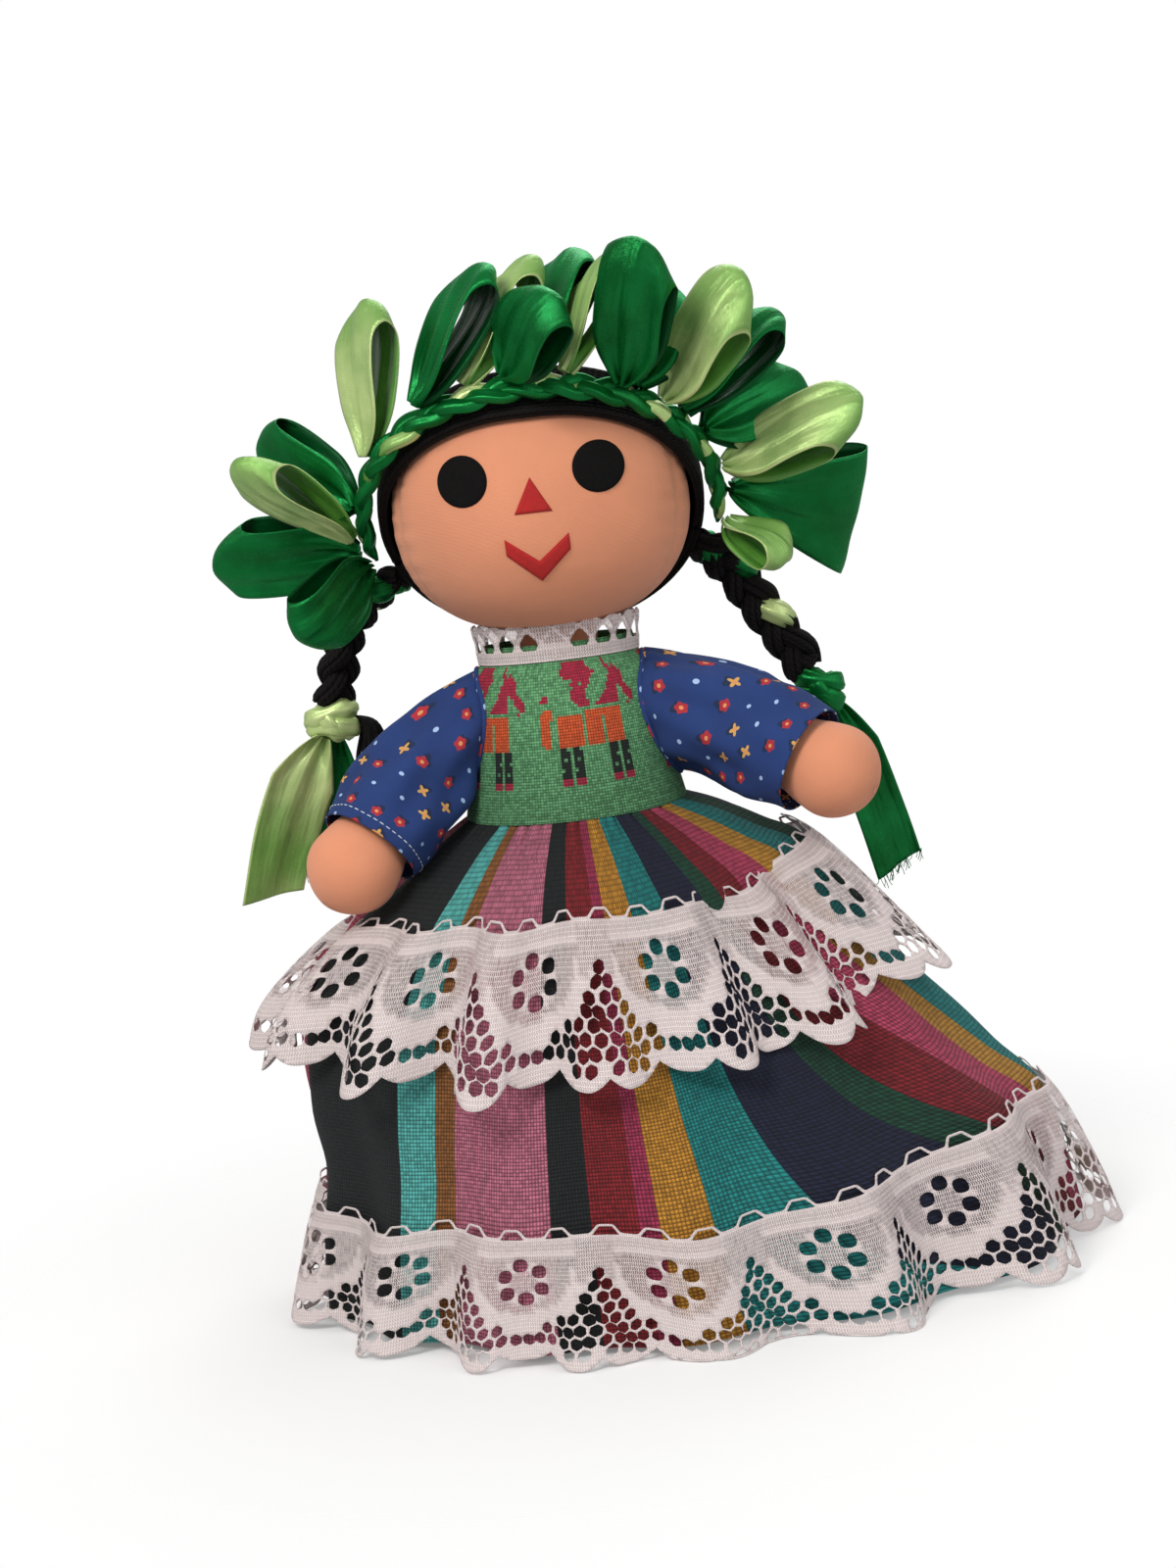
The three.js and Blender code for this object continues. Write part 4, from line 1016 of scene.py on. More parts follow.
# Head and face
def make_head_ball():
    """A stuffed cotton ball with a hollow for the neck, gathered along a seam on each side of the face."""
    rows, columns = 74, 168
    tilt_end = pi - asin(NECK_HOLLOW_RADIUS * 0.985 / HEAD_REACH_BELOW)
    tilts = np.linspace(0.02, tilt_end, rows)
    turns = np.linspace(0, 2 * pi, columns + 1)
    tilt, turn = np.meshgrid(tilts, turns, indexing="ij")
    way = points_at(np.sin(tilt) * np.sin(turn), np.sin(tilt) * np.cos(turn), np.cos(tilt))
    side = np.abs(np.abs(turn - pi) - radians(FACE_SEAM_TURN))
    level = hump(tilt - radians(93), radians(34))
    seam = hump(side, radians(2.4)) * level
    fan = hump(side, radians(13)) * level
    gather = fan * np.cos(52 * tilt + 2.2 * np.sin(9 * tilt)) * np.minimum(1, side / radians(4))
    start = -1.1 - 0.95 * seam + 0.55 * gather
    points = HEAD_MIDDLE + way * head_reach(way, start)[..., None]
    dome = np.linspace(acos((points[-1, 0, 2] - NECK_BALL_HEIGHT) / NECK_HOLLOW_RADIUS), 0.1, 7)[1:]
    ring = points_at(np.sin(turns), np.cos(turns), 0.0)
    inner = np.array([ring * NECK_HOLLOW_RADIUS * sin(angle)
                      + [0, 0, NECK_BALL_HEIGHT + NECK_HOLLOW_RADIUS * cos(angle)] for angle in dome])
    points = np.concatenate([points, inner])
    down = np.concatenate([tilts * 50, tilts[-1] * 50 + np.arange(1, 7) * 4]) * MM
    cloth = grid_of(turns * 54 * MM, down)
    shape = Shape()
    index = shape.add_closed(points[:, :-1], cloth)
    ball = shape.make("head_cotton", MATERIALS["skin"])
    stitch_rows = np.arange(0, rows, 2)
    seam_columns = [int(round(columns * (0.5 + sign * FACE_SEAM_TURN / 360))) for sign in (-1, 1)]
    seams = index[np.ix_(stitch_rows, seam_columns)]
    swell(ball, points_of(seams, index[rows - 1:], np.array([shape.count - 1])), pressure=3.0, cap=1.0)
    ride(ball, "head", "skin_cotton", "head")
    return ball


def refined(outline, step):
    """Points along a closed outline, no further apart than a step."""
    outline = np.array(outline, float)
    after = np.roll(outline, -1, axis=0)
    made = []
    for a, b in zip(outline, after):
        count = max(1, ceil(np.linalg.norm(b - a) / step))
        made += [a + (b - a) * i / count for i in range(count)]
    return np.array(made)


def outline_distance(points, outline):
    after = np.roll(outline, -1, axis=0)
    best = np.full(len(points), 1e9)
    for a, b in zip(outline, after):
        along = b - a
        share = np.clip((points - a) @ along / max(along @ along, 1e-9), 0, 1)
        best = np.minimum(best, np.linalg.norm(points - a - share[:, None] * along, axis=1))
    return best


def flat_mesh(outlines, extra):
    """A flat triangle mesh bounded by closed outlines, with further points inside it."""
    points, edges = [], []
    for outline in outlines:
        start = len(points)
        count = len(outline)
        points += [Vector(p) for p in outline.tolist()]
        edges += [(start + i, start + (i + 1) % count) for i in range(count)]
    points += [Vector(p) for p in np.asarray(extra).tolist()]
    made = delaunay_2d_cdt(points, edges, [], 0, 1e-4, False)
    return np.array([tuple(p) for p in made[0]]), np.array([tuple(f) for f in made[2]])


def inside(points, outline):
    """Which points lie inside a closed outline."""
    found = np.zeros(len(points), bool)
    for (ax, ay), (bx, by) in zip(outline, np.roll(outline, -1, axis=0)):
        crosses = (ay > points[:, 1]) != (by > points[:, 1])
        with np.errstate(divide="ignore", invalid="ignore"):
            at_x = (bx - ax) * (points[:, 1] - ay) / (by - ay) + ax
        found ^= crosses & (points[:, 0] < at_x)
    return found


def make_felt(name, outline, surface, material, slot, node_name):
    """A felt shape with softly rounded cut edges, laid on the head's front."""
    outline = refined(outline, 0.5)
    low, high = outline.min(axis=0), outline.max(axis=0)
    columns = np.arange(low[0], high[0], 0.8)
    rows = np.arange(low[1], high[1], 0.7)
    grid = grid_of(columns, rows)
    grid[1::2, :, 0] += 0.4
    grid = grid.reshape(-1, 2)
    grid = grid[inside(grid, outline)]
    grid = grid[outline_distance(grid, outline) > 0.3]
    points, faces = flat_mesh([outline], grid)
    faces = faces[inside(points[faces].mean(axis=1), outline)]
    edge = outline_distance(points, outline)
    places, normals = [], []
    for x, z in points:
        start = Vector((np.array([x, -2 * HEAD_HALF[1], z]) * MM + AXIS).tolist())
        hit, normal, _, _ = surface.ray_cast(start, Vector((0, 1, 0)))
        if hit is None:
            raise RuntimeError(f"{name} misses the head")
        places.append((np.array(hit) - AXIS) / MM)
        normals.append(np.array(normal))
    places, normals = np.array(places), np.array(normals)
    rounded = np.sqrt(np.maximum(0, 1 - (1 - np.clip(edge / 0.8, 0, 1)) ** 2))
    top = places + normals * (0.25 + (FELT - 0.25) * rounded)[:, None]
    shape = Shape()
    shape.add_flat(top, places - normals * 0.25, faces, points * MM, boundary_edges(faces))
    patch = shape.make(name, MATERIALS[material])
    return ride(patch, "head", slot, node_name)


def boundary_edges(faces):
    """Directed edges that only one face has."""
    pairs = np.concatenate([faces[:, [0, 1]], faces[:, [1, 2]], faces[:, [2, 0]]])
    known = {tuple(pair) for pair in pairs.tolist()}
    return [pair for pair in known if (pair[1], pair[0]) not in known]


def make_face(ball):
    surface = BVHTree.FromObject(ball, bpy.context.evaluated_depsgraph_get())
    turns = circle(48)
    for side, sign in SIDES.items():
        middle = np.array([sign * EYE_SPACING / 2, EYE_HEIGHT])
        edge = middle + EYE_RADIUS * np.stack([np.cos(turns), np.sin(turns)], -1)
        make_felt(f"eye_felt_{side}", edge, surface, "eye_felt", "black_felt", f"eye_{side}")
    make_felt("nose_felt", NOSE, surface, "red_felt", "red_felt", "nose")
    make_felt("mouth_felt", MOUTH, surface, "red_felt", "red_felt", "mouth")


# Hair: yarns laid from ear to ear, and the two side braids
EAR = np.array([57.0, 8.0, 262.0])
HAIR_SWEEP = (-1.5, 187.0)


def hair_way(turn, reach):
    """A direction from the hairline's middle: turn from 0 over the face to 180 at the nape, reach -1 to 1."""
    middle = HEAD_MIDDLE - HAIRLINE_NORMAL * HAIRLINE_DROP
    angle = np.radians(turn)
    over = np.cos(angle)[..., None] * HAIRLINE_UP + np.sin(angle)[..., None] * HAIRLINE_NORMAL
    lean = np.asarray(reach) * pi / 2
    ear = (EAR - middle) / EAR[0]
    ears = np.sin(np.abs(lean))[..., None] * ear * np.where(lean[..., None] < 0, [-1, 1, 1], 1)
    return middle, unit(np.cos(lean)[..., None] * over + ears)


def make_hair_cap(settings):
    """Yarns side by side over a dark cap, from ear to ear."""
    turns = np.linspace(*HAIR_SWEEP, 66)
    reach = np.linspace(-0.985, 0.985, 64)
    turn, across = np.meshgrid(turns, reach, indexing="ij")
    middle, way = hair_way(turn, across)
    points = on_head(middle, way, HAIR - 1.9)
    cloth = cloth_grid(180, 190, 64, 66)
    shape = Shape()
    shape.add_shell(points[:, ::-1], cloth, 1.7)
    cap = shape.make("hair_under", MATERIALS["yarn"])
    ride(cap, "head", "black_yarn", "hair_cap")
    random.seed(11)
    thick = settings.yarn_thickness / MM / 2
    count = settings.yarn_count
    turns = np.linspace(HAIR_SWEEP[0] + 0.7, HAIR_SWEEP[1] - 0.7, count)
    reach = np.linspace(-0.99, 0.99, 56)
    paths, radii = [], []
    for number, turn in enumerate(turns):
        stray = 0.5 if number > 8 else 0.15
        drift = stray * np.array([random.uniform(-1, 1) for _ in range(6)])
        drift = np.interp(reach, np.linspace(-1, 1, 6), drift)
        middle, way = hair_way(turn + drift, reach)
        lift = HAIR - thick - 0.25 + random.uniform(-0.3, 0.3) * stray * 2
        paths.append(on_head(middle, way, lift))
        radii.append(thick * (1 - 0.25 * np.abs(reach) ** 6) * random.uniform(0.9, 1.08))
    ride(yarns("hair_yarns", paths, radii), "head", "black_yarn")


BRAID_ROUTES = {
    "right": [(0, 0, 0), (-13.5, 6, -7), (-25, 13, -21), (-32.5, 17, -44)],
    "left": [(0, 0, 0), (10, 8, -10), (20, 15, -27), (35, 20, -52)],
}
KNOTS = {"right": (-34.5, 17.5, -51.8), "left": (38.5, 21, -59.9)}
BRAID_TURNS = 1.75


def braid_top(side):
    return crown_point(SIDES[side] * BRAID_ANGLE, HAIR + 0.6)


def knot_point(side):
    return braid_top(side) + np.array(KNOTS[side])


def plait_paths(base, across, turns, wide, deep, phase):
    """Three strands that cross each other along a base line."""
    _, side, up = frames_along(base, across)
    share = lengths_along(base) / lengths_along(base)[-1]
    made = []
    for strand in range(3):
        angle = 2 * pi * (turns * share + strand / 3) + phase
        made.append(base + side * (wide * np.sin(angle))[:, None] + up * (deep * np.sin(2 * angle))[:, None])
    return made


def braid_strands(side):
    route = np.array(BRAID_ROUTES[side], float) + braid_top(side)
    base = smooth_curve(route, 72)
    full = np.minimum(1, 0.55 + np.linspace(0, 1, 72) * 3)
    lean, phase = (0.3, 0.6) if side == "right" else (0.25, 2.2)
    return plait_paths(base, np.array([0.95, 0.1, lean]), BRAID_TURNS, 4.6 * full, 2.3 * full, phase)


def make_side_braid(side):
    """Three bundles of yarn plaited from the ear down to the ribbon knot."""
    random.seed(31 if side == "right" else 32)
    paths, radii = [], []
    thick = 1.25
    for bundle in braid_strands(side):
        share = np.linspace(0, 1, len(bundle))
        full = np.minimum(1, 0.6 + share * 3)
        _, across, up = frames_along(bundle, np.array([0.3, 1.0, 0.2]))
        for ring, count in ((0.0, 1), (1.55, 5), (2.95, 10)):
            for number in range(count):
                angle = 2 * pi * number / count + 2.2 * share + random.uniform(-0.2, 0.2)
                loose = ring * full * random.uniform(0.92, 1.04)
                shift = across * (loose * np.cos(angle))[:, None] + up * (loose * np.sin(angle))[:, None]
                paths.append(bundle + shift)
                radii.append(thick * random.uniform(0.85, 1.05) * np.ones(len(bundle)))
    ride(yarns(f"braid_yarns_{side}", paths, radii), f"braid_{side}", "black_yarn", f"hair_braid_{side}")


TUFTS = {"right": ((13.2, 1, -2.5), (15, 3, -34), 7.5), "left": ((-10.7, 3, -3), (-11, 6, -28), 6.5)}


def make_tuft(side):
    """Loose cut ends of the yarn that come out beside the knot and hang below it."""
    start, end, reach = TUFTS[side]
    knot = knot_point(side)
    start, end = knot + start, knot + end
    random.seed(51 if side == "right" else 52)
    paths, radii = [], []
    share = np.linspace(0, 1, 22)
    inner = knot + np.array([3.0 * -SIDES[side], 2.0, 1.0])
    for _ in range(46):
        angle, out = random.uniform(0, 2 * pi), sqrt(random.uniform(0, 1))
        spread = np.array([cos(angle), sin(angle), 0]) * out * (reach - 1.2)
        length = random.uniform(0.84, 1.0)
        crook = np.array([random.uniform(-1.6, 1.6), random.uniform(-1.6, 1.6), 0])
        bottom = start + (end - start) * length + spread * 0.75
        half_way = (start * 0.5 + bottom * 0.5) + spread * 0.5 + crook
        route = [inner + spread * 0.12, start + spread * 0.45, half_way, bottom]
        paths.append(smooth_curve(route, len(share)))
        radii.append(np.full(len(share), random.uniform(0.75, 1.0)) * (1 - 0.3 * share**4))
    ride(yarns(f"tuft_yarns_{side}", paths, radii), f"braid_{side}", "black_yarn", f"hair_tuft_{side}")


# Ribbons: the crown braid, its loops, and the ribbons in the side braids
def crown_line(count, offset=HAIR + CROWN_RADIUS - 0.35):
    return crown_point(np.linspace(-CROWN_REACH, CROWN_REACH, count), offset)


def satin_strand(shape, path, across, radius, flatness, paint, pleats=5, seed=0.0):
    """A ribbon drawn together into a strand, with lengthwise pleats and the paint of each of its rings."""
    def profile(turn):
        return 1 + 0.085 * np.cos(pleats * turn + seed) + 0.05 * np.cos(2 * turn + 2 * seed)
    start, sides = len(shape.paints), 20
    shape.add_tube(path, across, radius, sides, flatness, profile)
    shape.paints[start] = np.repeat(paint[:-1], sides)


CROWN_LIGHT = [(-88, 1), (-70, 0), (-47, 2), (-17, 1), (12, 2), (43, 0), (64, 1), (92, 2)]


def make_crown_braid():
    """Three satin strands plaited along the hair, mostly dark, with the light one showing here and there."""
    base = crown_line(520)
    angles = np.linspace(-CROWN_REACH, CROWN_REACH, 520)
    outward = unit(base - HEAD_MIDDLE)
    tangents = unit(np.gradient(base, axis=0))
    share = (angles + CROWN_REACH) / (2 * CROWN_REACH)
    close = np.clip(np.minimum(share, 1 - share) * 14 + 0.35, 0, 1)
    side = unit(np.cross(tangents, outward))
    shape = Shape()
    turns = 5.6
    for strand in range(3):
        angle = 2 * pi * (turns * share + strand / 3)
        lift = 1.15 * np.sin(2 * angle)
        path = base + side * (2.7 * close * np.sin(angle))[:, None] + outward * (lift * close)[:, None]
        paint = np.zeros(len(base), int)
        for place, light in CROWN_LIGHT:
            if light == strand:
                paint[np.abs(angles - place) < 7.5] = 1
        satin_strand(shape, path, side[0], 2.75 * close, 0.78, paint, seed=strand * 1.7)
    braid = shape.make("crown_satin", MATERIALS["dark_satin"], MATERIALS["light_satin"])
    ride(braid, "head", "dark_satin", "crown_braid")


def satin_name(light):
    return "light_satin" if light else "dark_satin"


# Each loop: place on the crown and lean in degrees, length, width, turn, forward tilt, and whether it's light
LOOPS = [
    (-101.5, -131, 45, 25, 55, 46, False), (-98, -87, 54, 27, 62, -4, False),
    (-91.5, -47, 52, 22, 34, 26, True),
    (-82, -51, 48, 25, 66, -26, False), (-61, 7, 54, 24, 38, 0, True), (-35, 34, 54, 25, 28, 8, False),
    (-18, 36, 50, 18, 30, -6, True), (-4.5, 38, 38, 25, 52, 31, False), (2.5, 27, 56, 25, 42, -35, False),
    (15.5, 29, 45, 18, 24, -14, True), (33, 16, 53, 25, 71, 29, False), (39, 22, 39, 26, 66, -20, False),
    (47.5, 40, 52, 25, 52, 22, True), (56.5, 49, 47, 22, 40, -8, False), (66, 71, 46, 25, 79, -33, False),
    (80, 72, 55, 24, 50, 22, True), (90.5, 108, 55, 43, 105, -31, False), (101, 124, 32, 17, 31, 40, True),
]
LOOP_OPENING = 11.0
LOOP_FOOT = 4.6


def turned(vector, axis, degrees):
    angle = radians(degrees)
    return (vector * cos(angle) + np.cross(axis, vector) * sin(angle)
            + axis * (axis @ vector) * (1 - cos(angle)))


def make_ribbon_loop(number, place, lean, length, wide, turn, tilt, light):
    """One loop of ribbon: gathered at its foot, cupped along its width and round at its top."""
    rise, nod = radians(lean), radians(tilt)
    way = np.array([sin(rise) * cos(nod), -sin(nod), cos(rise) * cos(nod)])
    flat = np.array([cos(rise), 0, -sin(rise)])
    opened = turned(flat, way, turn)
    across = np.cross(way, opened)
    line = crown_line(205, HAIR + CROWN_RADIUS)
    middle = int(round((place + CROWN_REACH) / (2 * CROWN_REACH) * 204))
    along = unit(line[min(middle + 1, 204)] - line[max(middle - 1, 0)])
    outward = unit(way - along * (way @ along))
    foot = line[middle] + outward * (CROWN_RADIUS - 1.2 + abs(way @ along) * 1.3)
    steps, columns = 61, 17
    s = np.linspace(0, 1, steps)[:, None]
    u = np.linspace(-1, 1, columns)[None]
    rng = np.random.default_rng(100 + number)
    lopsided, roll = rng.uniform(-0.1, 0.1), rng.uniform(-0.5, 0.5)
    bow = np.sin(pi * s)
    out = length * (1 - np.cos(2 * pi * s)) / 2
    fan = wide > 30
    rounding = 1 - (0.03 if fan else 0.17) * u**2 * bow - lopsided * u * bow
    gape = np.sin(2 * pi * s) * (LOOP_OPENING / 2) * (1 - np.cos(2 * pi * s)) * 0.77
    gape = gape * (1 - 0.3 * u**2) + 0.9 * np.cos(pi * s)
    width = LOOP_FOOT + (wide - LOOP_FOOT) * (1.15 * bow**1.5 if fan else smoothstep(bow / 0.64))
    sideways = np.sign(0.5 - s) * smoothstep(np.abs(0.5 - s) / 0.12)
    cup = 2.6 * (u**2 - 0.35) * bow * sideways
    foot_pleats = 1.05 * hump(bow, 0.42) + 0.85 * hump(bow, 1.0)
    pleats = foot_pleats * np.cos(2.5 * pi * (u + roll))
    crease = 0.45 * bow * np.sin(5 * u + 7 * s + 3 * roll) * np.sin(pi * s) ** 2
    shift = (cup + pleats + crease)[..., None] * opened
    points = (foot + way * (out * rounding)[..., None] + opened * gape[..., None]
              + across * (width / 2 * u)[..., None] + shift)
    long = lengths_along(points[:, columns // 2])[-1]
    shape = Shape()
    shape.add_shell(points, cloth_grid(RIBBON_WIDTH, long, columns, steps), RIBBON_THICKNESS, inner_paint=1)
    # The sheet's side that faces into the loop gets the satin with painted shade (material 0); its other side
    # and its cut edges get the plain satin (material 1)
    shaded_inside_look = MATERIALS["light_satin_shade" if light else "dark_satin_shade"]
    loop = shape.make(f"satin_loop_{number:02d}", shaded_inside_look, MATERIALS[satin_name(light)])
    ride(loop, "head", satin_name(light), f"ribbon_loop_{number:02d}")


def wrap_ring(shape, middle, normal, radii, thick, seed):
    """One turn of ribbon round the braid, drawn tight and puffed."""
    normal = unit(np.array(normal, float))
    first = unit(np.cross(normal, [0.1, 1.0, 0.2]))
    second = np.cross(normal, first)
    turns, roll = circle(48), circle(18)
    path = middle + first * (radii[0] * np.cos(turns))[:, None] + second * (radii[1] * np.sin(turns))[:, None]
    puff = 1 + 0.16 * np.sin(2 * turns + seed) + 0.08 * np.sin(5 * turns + 2 * seed)
    pleat = 1 + 0.1 * np.cos(5 * roll + seed)[None] + 0.05 * np.cos(3 * roll - 4 * turns[:, None])
    size = (thick * puff)[:, None] * pleat
    rings = rings_round(path, unit(path - middle), normal[None], roll, size * 0.8, size)
    shape.add_hoop(rings, cloth_grid(RIBBON_WIDTH, 2 * pi * max(radii), 19, 49))


def make_knot(side):
    """Ribbon tied round the end of the braid: two turns round it and one drawn across them."""
    middle = knot_point(side)
    light = side == "right"
    shape = Shape()
    lean = np.array([-0.25 if light else 0.3, 0.15, 1.0])
    wide = 1.12 if light else 1.0
    wrap_ring(shape, middle + [0, 0, 2.4], lean, (6.4 * wide, 5.0), 3.9, 1.0)
    wrap_ring(shape, middle - [0, 0, 2.6], lean + [0.35, 0, 0], (6.2 * wide, 4.8), 3.9, 2.6)
    wrap_ring(shape, middle + [0.5, -0.6, 0], [0.95, -0.1, 0.55], (6.0, 4.6), 3.4, 4.1)
    knot = shape.make(f"satin_knot_{side}", MATERIALS[satin_name(light)])
    ride(knot, f"braid_{side}", satin_name(light), f"braid_knot_{side}")


# Each tail: its side, width, tied end, free end and bulge from the knot, its width's way, and its satin
TAILS = {
    "right_outer": ("right", 25.0, (-4, -1.5, -8), (-31, 1, -64), (-3, -3, 4), (1, 0.35, 0), True),
    "right_inner": ("right", 22.0, (0.4, 4.6, -7.2), (-13, 9, -58), (2, 2, 2), (1, -0.2, 0), False),
    "left": ("left", 19.0, (3, 2.4, -7.6), (24, 36, -76), (3, 6, 2), (1, 0.3, 0.2), False),
}


def make_tail(name):
    side, wide, start, end, bulge, face, light = TAILS[name]
    knot = knot_point(side)
    start = knot + np.array(start) + [0, 0, 3]
    end = knot + np.array(end)
    middle = start + (end - start) * 0.45 + bulge
    steps, columns = 64, 21
    t = np.linspace(0, 1, steps)[:, None]
    path = (1 - t) ** 2 * start + 2 * t * (1 - t) * middle + t**2 * end
    _, across, normal = frames_along(path, np.array(face, float))
    u = np.linspace(-1, 1, columns)[None]
    width = wide * np.minimum(1, 0.22 + 1.9 * t**0.8)
    rng = np.random.default_rng(len(name))
    phase = rng.uniform(0, 6)
    fold = (2.2 * np.exp(-t * 3.2) * np.cos(2.2 * pi * u + phase)
            + 1.3 * np.sin(2.6 * u + 3 * t + phase) * t + 1.5 * u**2 * (1 - t) * 1.5)
    if not light:
        fold = fold + 3.0 * np.abs(u) * t
    points = path[:, None] + across[:, None] * (width * u / 2)[..., None] + normal[:, None] * fold[..., None]
    points[..., 2] += (0.16 if light else 0.1) * wide * u * smoothstep((t - 0.6) / 0.4)
    long = lengths_along(points[:, columns // 2])[-1]
    shape = Shape()
    shape.add_shell(points, cloth_grid(RIBBON_WIDTH, long, columns, steps), RIBBON_THICKNESS)
    tail = shape.make(f"satin_tail_{name}", MATERIALS[satin_name(light)])
    ride(tail, f"braid_{side}", satin_name(light), f"ribbon_tail_{name}")
    if not light:
        frays = []
        edge = points[-1]
        for number in range(30):
            at = edge[int(rng.integers(0, columns))] + rng.uniform(-0.4, 0.4, 3)
            away = at + [rng.uniform(-2, 2), rng.uniform(-1, 1), -rng.uniform(1.5, 4.5)]
            half_way = (at + away) / 2 + rng.uniform(-0.5, 0.5, 3)
            frays.append(smooth_curve([at + [0, 0, 0.8], half_way, away], 6))
        threads = yarns(f"frayed_end_{side}", frays, [0.14] * len(frays), "dark_satin", sides=4)
        ride(threads, f"braid_{side}", "dark_satin")


# Ribbon laid over one bundle of a side braid: side, bundle, and where it starts and ends along the braid
BRAID_WRAPS = [
    ("right", 0, 0.0, 0.2, False), ("right", 1, 0.08, 0.3, False), ("right", 2, 0.26, 0.46, True),
    ("left", 0, 0.02, 0.22, False), ("left", 1, 0.3, 0.52, False), ("left", 2, 0.62, 0.84, True),
]


def make_braid_wraps(side):
    shape = Shape()
    for number, (at_side, bundle, start, end, light) in enumerate(BRAID_WRAPS):
        if at_side != side:
            continue
        path = braid_strands(side)[bundle]
        low, high = int(start * (len(path) - 1)), int(end * (len(path) - 1))
        part = smooth_curve(path[low:high + 1], 40)
        share = np.linspace(0, 1, 40)
        radius = 4.75 * np.clip(np.sin(pi * np.clip(share, 0.02, 0.98)) ** 0.35, 0.25, 1)
        paint = np.full(40, int(light))
        satin_strand(shape, part, np.array([0.9, 0.2, 0.3]), radius, 0.9, paint, pleats=7, seed=number)
    wraps = shape.make(f"braid_ribbon_{side}", MATERIALS["dark_satin"], MATERIALS["light_satin"])
    ride(wraps, f"braid_{side}", "dark_satin")


# Trunk, neck, arms, legs and shoes
def make_limb(name, path, radii, sides, across, soft, seed=0.0):
    """A stuffed cotton tube with closed round ends and a little unevenness."""
    _, side, up = frames_along(path, np.array(across))
    radii = radii[:, None]
    rings = rings_round(path, side, up, circle(sides), radii, radii)
    outward = unit(rings - path[:, None])
    rings = rings + outward * (wobble(rings, 16, soft, seed) * np.minimum(1, radii / 6))[..., None]
    round_it = np.linspace(0, 2 * pi * float(np.median(radii)) * MM, sides + 1)
    shape = Shape()
    index = shape.add_closed(rings, grid_of(round_it, lengths_along(path) * MM))
    return shape.make(name, MATERIALS["skin"]), index


ARM_STOPS = [
    (-11.8, 1.6), (-9.6, 6.6), (-4.8, 10.4), (0, 11.4), (6, 10.1), (15, 9.7), (26, 13.2), (40, 13.8),
    (50, 13.6), (56, 14.2), (62, 15.9), (69, 17.0), (74, 16.3), (78, 14.3), (81.5, 11.2), (84, 7.4),
    (85.6, 3.2), (85.9, 1.2),
]


def make_arm(side):
    """A stuffed arm whose round hand is sewn from two halves."""
    fine = smooth_curve(ARM_STOPS, 64)
    start, way = shoulder_point(side), arm_way(side)
    bend = np.array([0, 0, -1.0])
    path = start + way * fine[:, :1] + bend * (0.6 * smoothstep((fine[:, :1] - 20) / 60))
    arm, index = make_limb(f"arm_cotton_{side}", path, np.maximum(fine[:, 1] - 0.35, 0.5), sides=48,
                           across=(0.0, 0.0, 1.0), soft=0.3, seed=3.0 + SIDES[side])
    arm.data.materials.append(MATERIALS["sleeve"])
    for face in arm.data.polygons:
        if ((np.array(face.center) - AXIS) / MM - start) @ way < HIDDEN_BY_SLEEVE:
            face.material_index = 1
    swell(arm, points_of(index[:, [0, 24]], index[:22]), pressure=3.5, cap=0.8)
    ride(arm, f"arm_{side}", "skin_cotton", f"arm_{side}")


def make_torso():
    """The hidden stuffed trunk, narrower at the neck and rounded below the waist."""
    rows = [(221.6, 20, 12), (215, 30, 20.2), (201, 30.8, 26.5), (184.5, 34.2, 30.6), (168.5, 37.4, 34.8),
            (160.5, 34.6, 30), (154.5, 31.4, 25), (151.2, 24, 18)]
    fine = smooth_curve(rows, 40)
    turn = circle(72)
    rings = points_at(fine[:, 1:2] * np.cos(turn), fine[:, 2:3] * np.sin(turn), fine[:, :1])
    for side, sign in SIDES.items():
        rings = outside_ball(rings, shoulder_point(side), 16.2)
        rings = outside_ball(rings, np.array([sign * HIP_OFFSET, 0, HIP_HEIGHT]), 15.4)
    shape = Shape()
    cloth = grid_of(np.linspace(0, 0.23, 73), (fine[0, 0] - fine[:, 0]) * MM)
    index = shape.add_closed(rings, cloth)
    torso = shape.make("torso_cotton", MATERIALS["skin"])
    tips = np.array([shape.count - 1, shape.count - 2])
    pinned = points_of(index[:8], index[-8:], index[:, [0, 36]], tips)
    swell(torso, pinned, pressure=1.5, cap=0.5)
    ride(torso, "torso", "skin_cotton", "torso")


def make_neck():
    rows = [(214.2, 9.0), (216, 10.6), (220, 10.8), (224, 12.6), (229, 14.6), (235, 13.2), (240, 9.2),
            (243.4, 3.4)]
    fine = smooth_curve(rows, 26)
    path = points_at(0.0, 0.0, fine[:, 0])
    neck, _ = make_limb("neck_cotton", path, fine[:, 1], sides=40, across=(1.0, 0.0, 0.0), soft=0.1)
    ride(neck, "neck", "skin_cotton", "neck")


LEG_STOPS = [(159.4, 3.2), (155.6, 9.6), (146, 13.6), (116, 14.4), (84, 11.8), (64, 12.9), (44, 11.6),
             (34, 10.2), (19, 10.1), (16.4, 7.2)]


def make_leg(side):
    fine = smooth_curve(LEG_STOPS, 60)
    path = points_at(SIDES[side] * HIP_OFFSET, 0.0, fine[:, 0])
    leg, index = make_limb(f"leg_cotton_{side}", path, fine[:, 1], sides=40, across=(1.0, 0.0, 0.0),
                           soft=0.25, seed=SIDES[side])
    pinned = points_of(index[:14], index[-18:], index[:, [10, 30]])
    swell(leg, pinned, pressure=2.0, cap=0.5)
    ride(leg, f"leg_{side}", "skin_cotton", f"leg_{side}")


